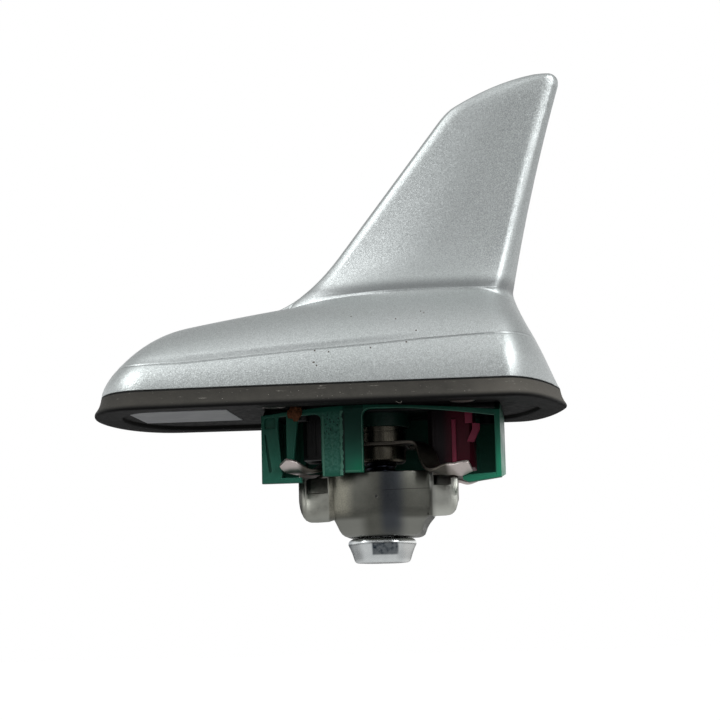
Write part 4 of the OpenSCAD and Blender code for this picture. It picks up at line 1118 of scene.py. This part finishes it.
def softbox(name, place, aim, size, power):
    lamp = bpy.data.lights.new(name, "AREA")
    lamp.shape, lamp.size, lamp.size_y = "RECTANGLE", size[0], size[1]
    lamp.energy = power
    thing = placed(name, lamp)
    thing.location = place
    thing.rotation_mode = "QUATERNION"
    thing.rotation_quaternion = (Vector(aim) - Vector(place)).to_track_quat("-Z", "Y")


def make_floor():
    mesh = bpy.data.meshes.new("floor")
    edge = 3.0
    corners = [(-edge, -edge, 0), (edge, -edge, 0), (edge, edge, 0), (-edge, edge, 0)]
    mesh.from_pydata(corners, [], [(0, 1, 2, 3)])
    floor = placed("floor", mesh)
    floor.location = (0, 0, -0.085)
    f = Finish("pale_floor", (0.85,) * 3, rough=0.9)
    camera = f.node("ShaderNodeLightPath", out="Is Camera Ray")
    glossy = f.node("ShaderNodeLightPath", out="Is Glossy Ray")
    f.set("Base Color", f.blend(camera, (0.14,) * 3, (0.85,) * 3))
    glow = f.node("ShaderNodeEmission", None, Strength=1.05)
    reach = f.node("ShaderNodeVectorMath", {"operation": "LENGTH"}, f.place, out="Value")
    pool = f.node("ShaderNodeMapRange", None, reach, 60.0, 300.0, 0.62, 0.05)
    both = f.node("ShaderNodeMixShader", None, glossy * pool + camera * 0.94,
                  Value(f, f.shader.outputs[0]), glow)
    f.feed(f.tree.nodes["Material Output"].inputs[0], both)
    mesh.materials.append(f.material)


def make_camera():
    lens = bpy.data.cameras.new("camera")
    lens.lens, lens.sensor_width, lens.sensor_fit = 100.0, 36.0, "HORIZONTAL"
    lens.clip_start, lens.clip_end = 0.01, 20.0
    camera = placed("camera", lens)
    place = Vector((0.04992, -0.4975, -0.05556))
    ahead = (Vector((-0.004564, 0.0, 0.01399)) - place).normalized()
    right = ahead.cross(Vector((0, 0, 1))).normalized()
    up = right.cross(ahead)
    roll = -0.023
    right, up = (cos(roll) * right + sin(roll) * up,
                 cos(roll) * up - sin(roll) * right)
    turn = Matrix((right, up, -ahead)).transposed()
    camera.matrix_world = Matrix.Translation(place) @ turn.to_4x4()
    bpy.context.scene.camera = camera


make_camera()
make_studio()
make_floor()
bpy.context.scene.view_settings.view_transform = "Standard"
softbox("key_lamp", (-0.72, -0.44, 0.54), (0, 0, 0.02), (0.5, 0.5), 5.0)
softbox("tail_lamp", (0.56, -0.42, 0.46), (0, 0, 0.02), (0.5, 0.5), 4.8)

paint = silver_paint()
rubber = seal_rubber()
make_cover(paint)
make_seal(rubber)

green = green_moulding()
black = moulding("black_moulding", (0.01, 0.01, 0.011), (0.024, 0.024, 0.026), 0.5, 0.03)
bordeaux = bordeaux_moulding()
boss_metal = metal("boss_metal", (0.03,) * 3, (0.13, 0.115, 0.085), 0.3, (1.2, 1.2, 0.2))
head_metal = metal("screw_metal", (0.45, 0.38, 0.36), (0.62, 0.55, 0.53), 0.35)
dark_metal = metal("dark_metal", (0.02,) * 3, (0.05,) * 3, 0.5)
rust = metal("rusted_metal", (0.06, 0.022, 0.01), (0.17, 0.075, 0.04), 0.75, bump=0.15)
make_frame(green)
make_sockets(black, bordeaux)
make_boss(boss_metal)
make_claw(spring_metal())
make_bolt(bolt_metal())
make_cup(cup_metal())
make_heads(head_metal)
make_lump("rust_lump", (-19.4, -15.0, -0.5), (1.55, 0.9, 1.9), rust, 4.0)
fibre = moulding("pale_fibre", (0.6, 0.58, 0.5), (0.75, 0.73, 0.66), 0.7)
fibre_path = [(6.2, -26.6, 0.4), (6.9, -26.9, -0.1), (7.8, -26.7, -0.4), (8.1, -26.9, 0.1)]
make_thread("pale_fibre", fibre_path, 0.06, fibre)

dark_plate = moulding("black_plate", (0.003,) * 3, (0.008,) * 3, 0.6, 0.05,
                      Specular_IOR_Level=0.12)
label_film = moulding("label_film", (0.42, 0.43, 0.45), (0.58, 0.59, 0.6), 0.45, 0.02, 0.15)
foam = moulding("black_foam", (0.015,) * 3, (0.03,) * 3, 0.9, 0.15, 1.5)
ivory = moulding("ivory_moulding", (0.55, 0.53, 0.46), (0.7, 0.68, 0.6), 0.45)
gold = metal("contact_metal", (0.62, 0.42, 0.14), (0.82, 0.62, 0.28), 0.25)
tin = metal("can_metal", (0.5,) * 3, (0.72,) * 3, 0.3)
copper = metal("copper_metal", (0.55, 0.26, 0.12), (0.72, 0.4, 0.22), 0.3)
board = moulding("board_moulding", (0.015, 0.11, 0.045), (0.03, 0.16, 0.07), 0.3, 0.02, 0.4)
ceramic = moulding("buff_ceramic", (0.5, 0.44, 0.34), (0.64, 0.58, 0.47), 0.35, 0.02, 0.3)
node_finishes = {
    "base_plate": dark_plate, "blank_label": label_film, "cover_gasket": foam,
    "black_outer_contact": gold, "red_outer_contact": gold, "black_centre_pin": gold,
    "red_centre_pin": gold,
    "patch_feed_pin": gold, "contact_spring": gold, "black_insulator": ivory,
    "red_insulator": ivory,
    "fin_board_holder": ivory, "board_screws": head_metal, "frame_screws": dark_metal,
    "main_board": board, "fin_board": board, "fin_trace": copper, "shield_can": tin,
    "patch_aerial": ceramic}
for name, node in nodes.items():
    node.data.materials.clear()
    node.data.materials.append(node_finishes.get(name, dark_plate))
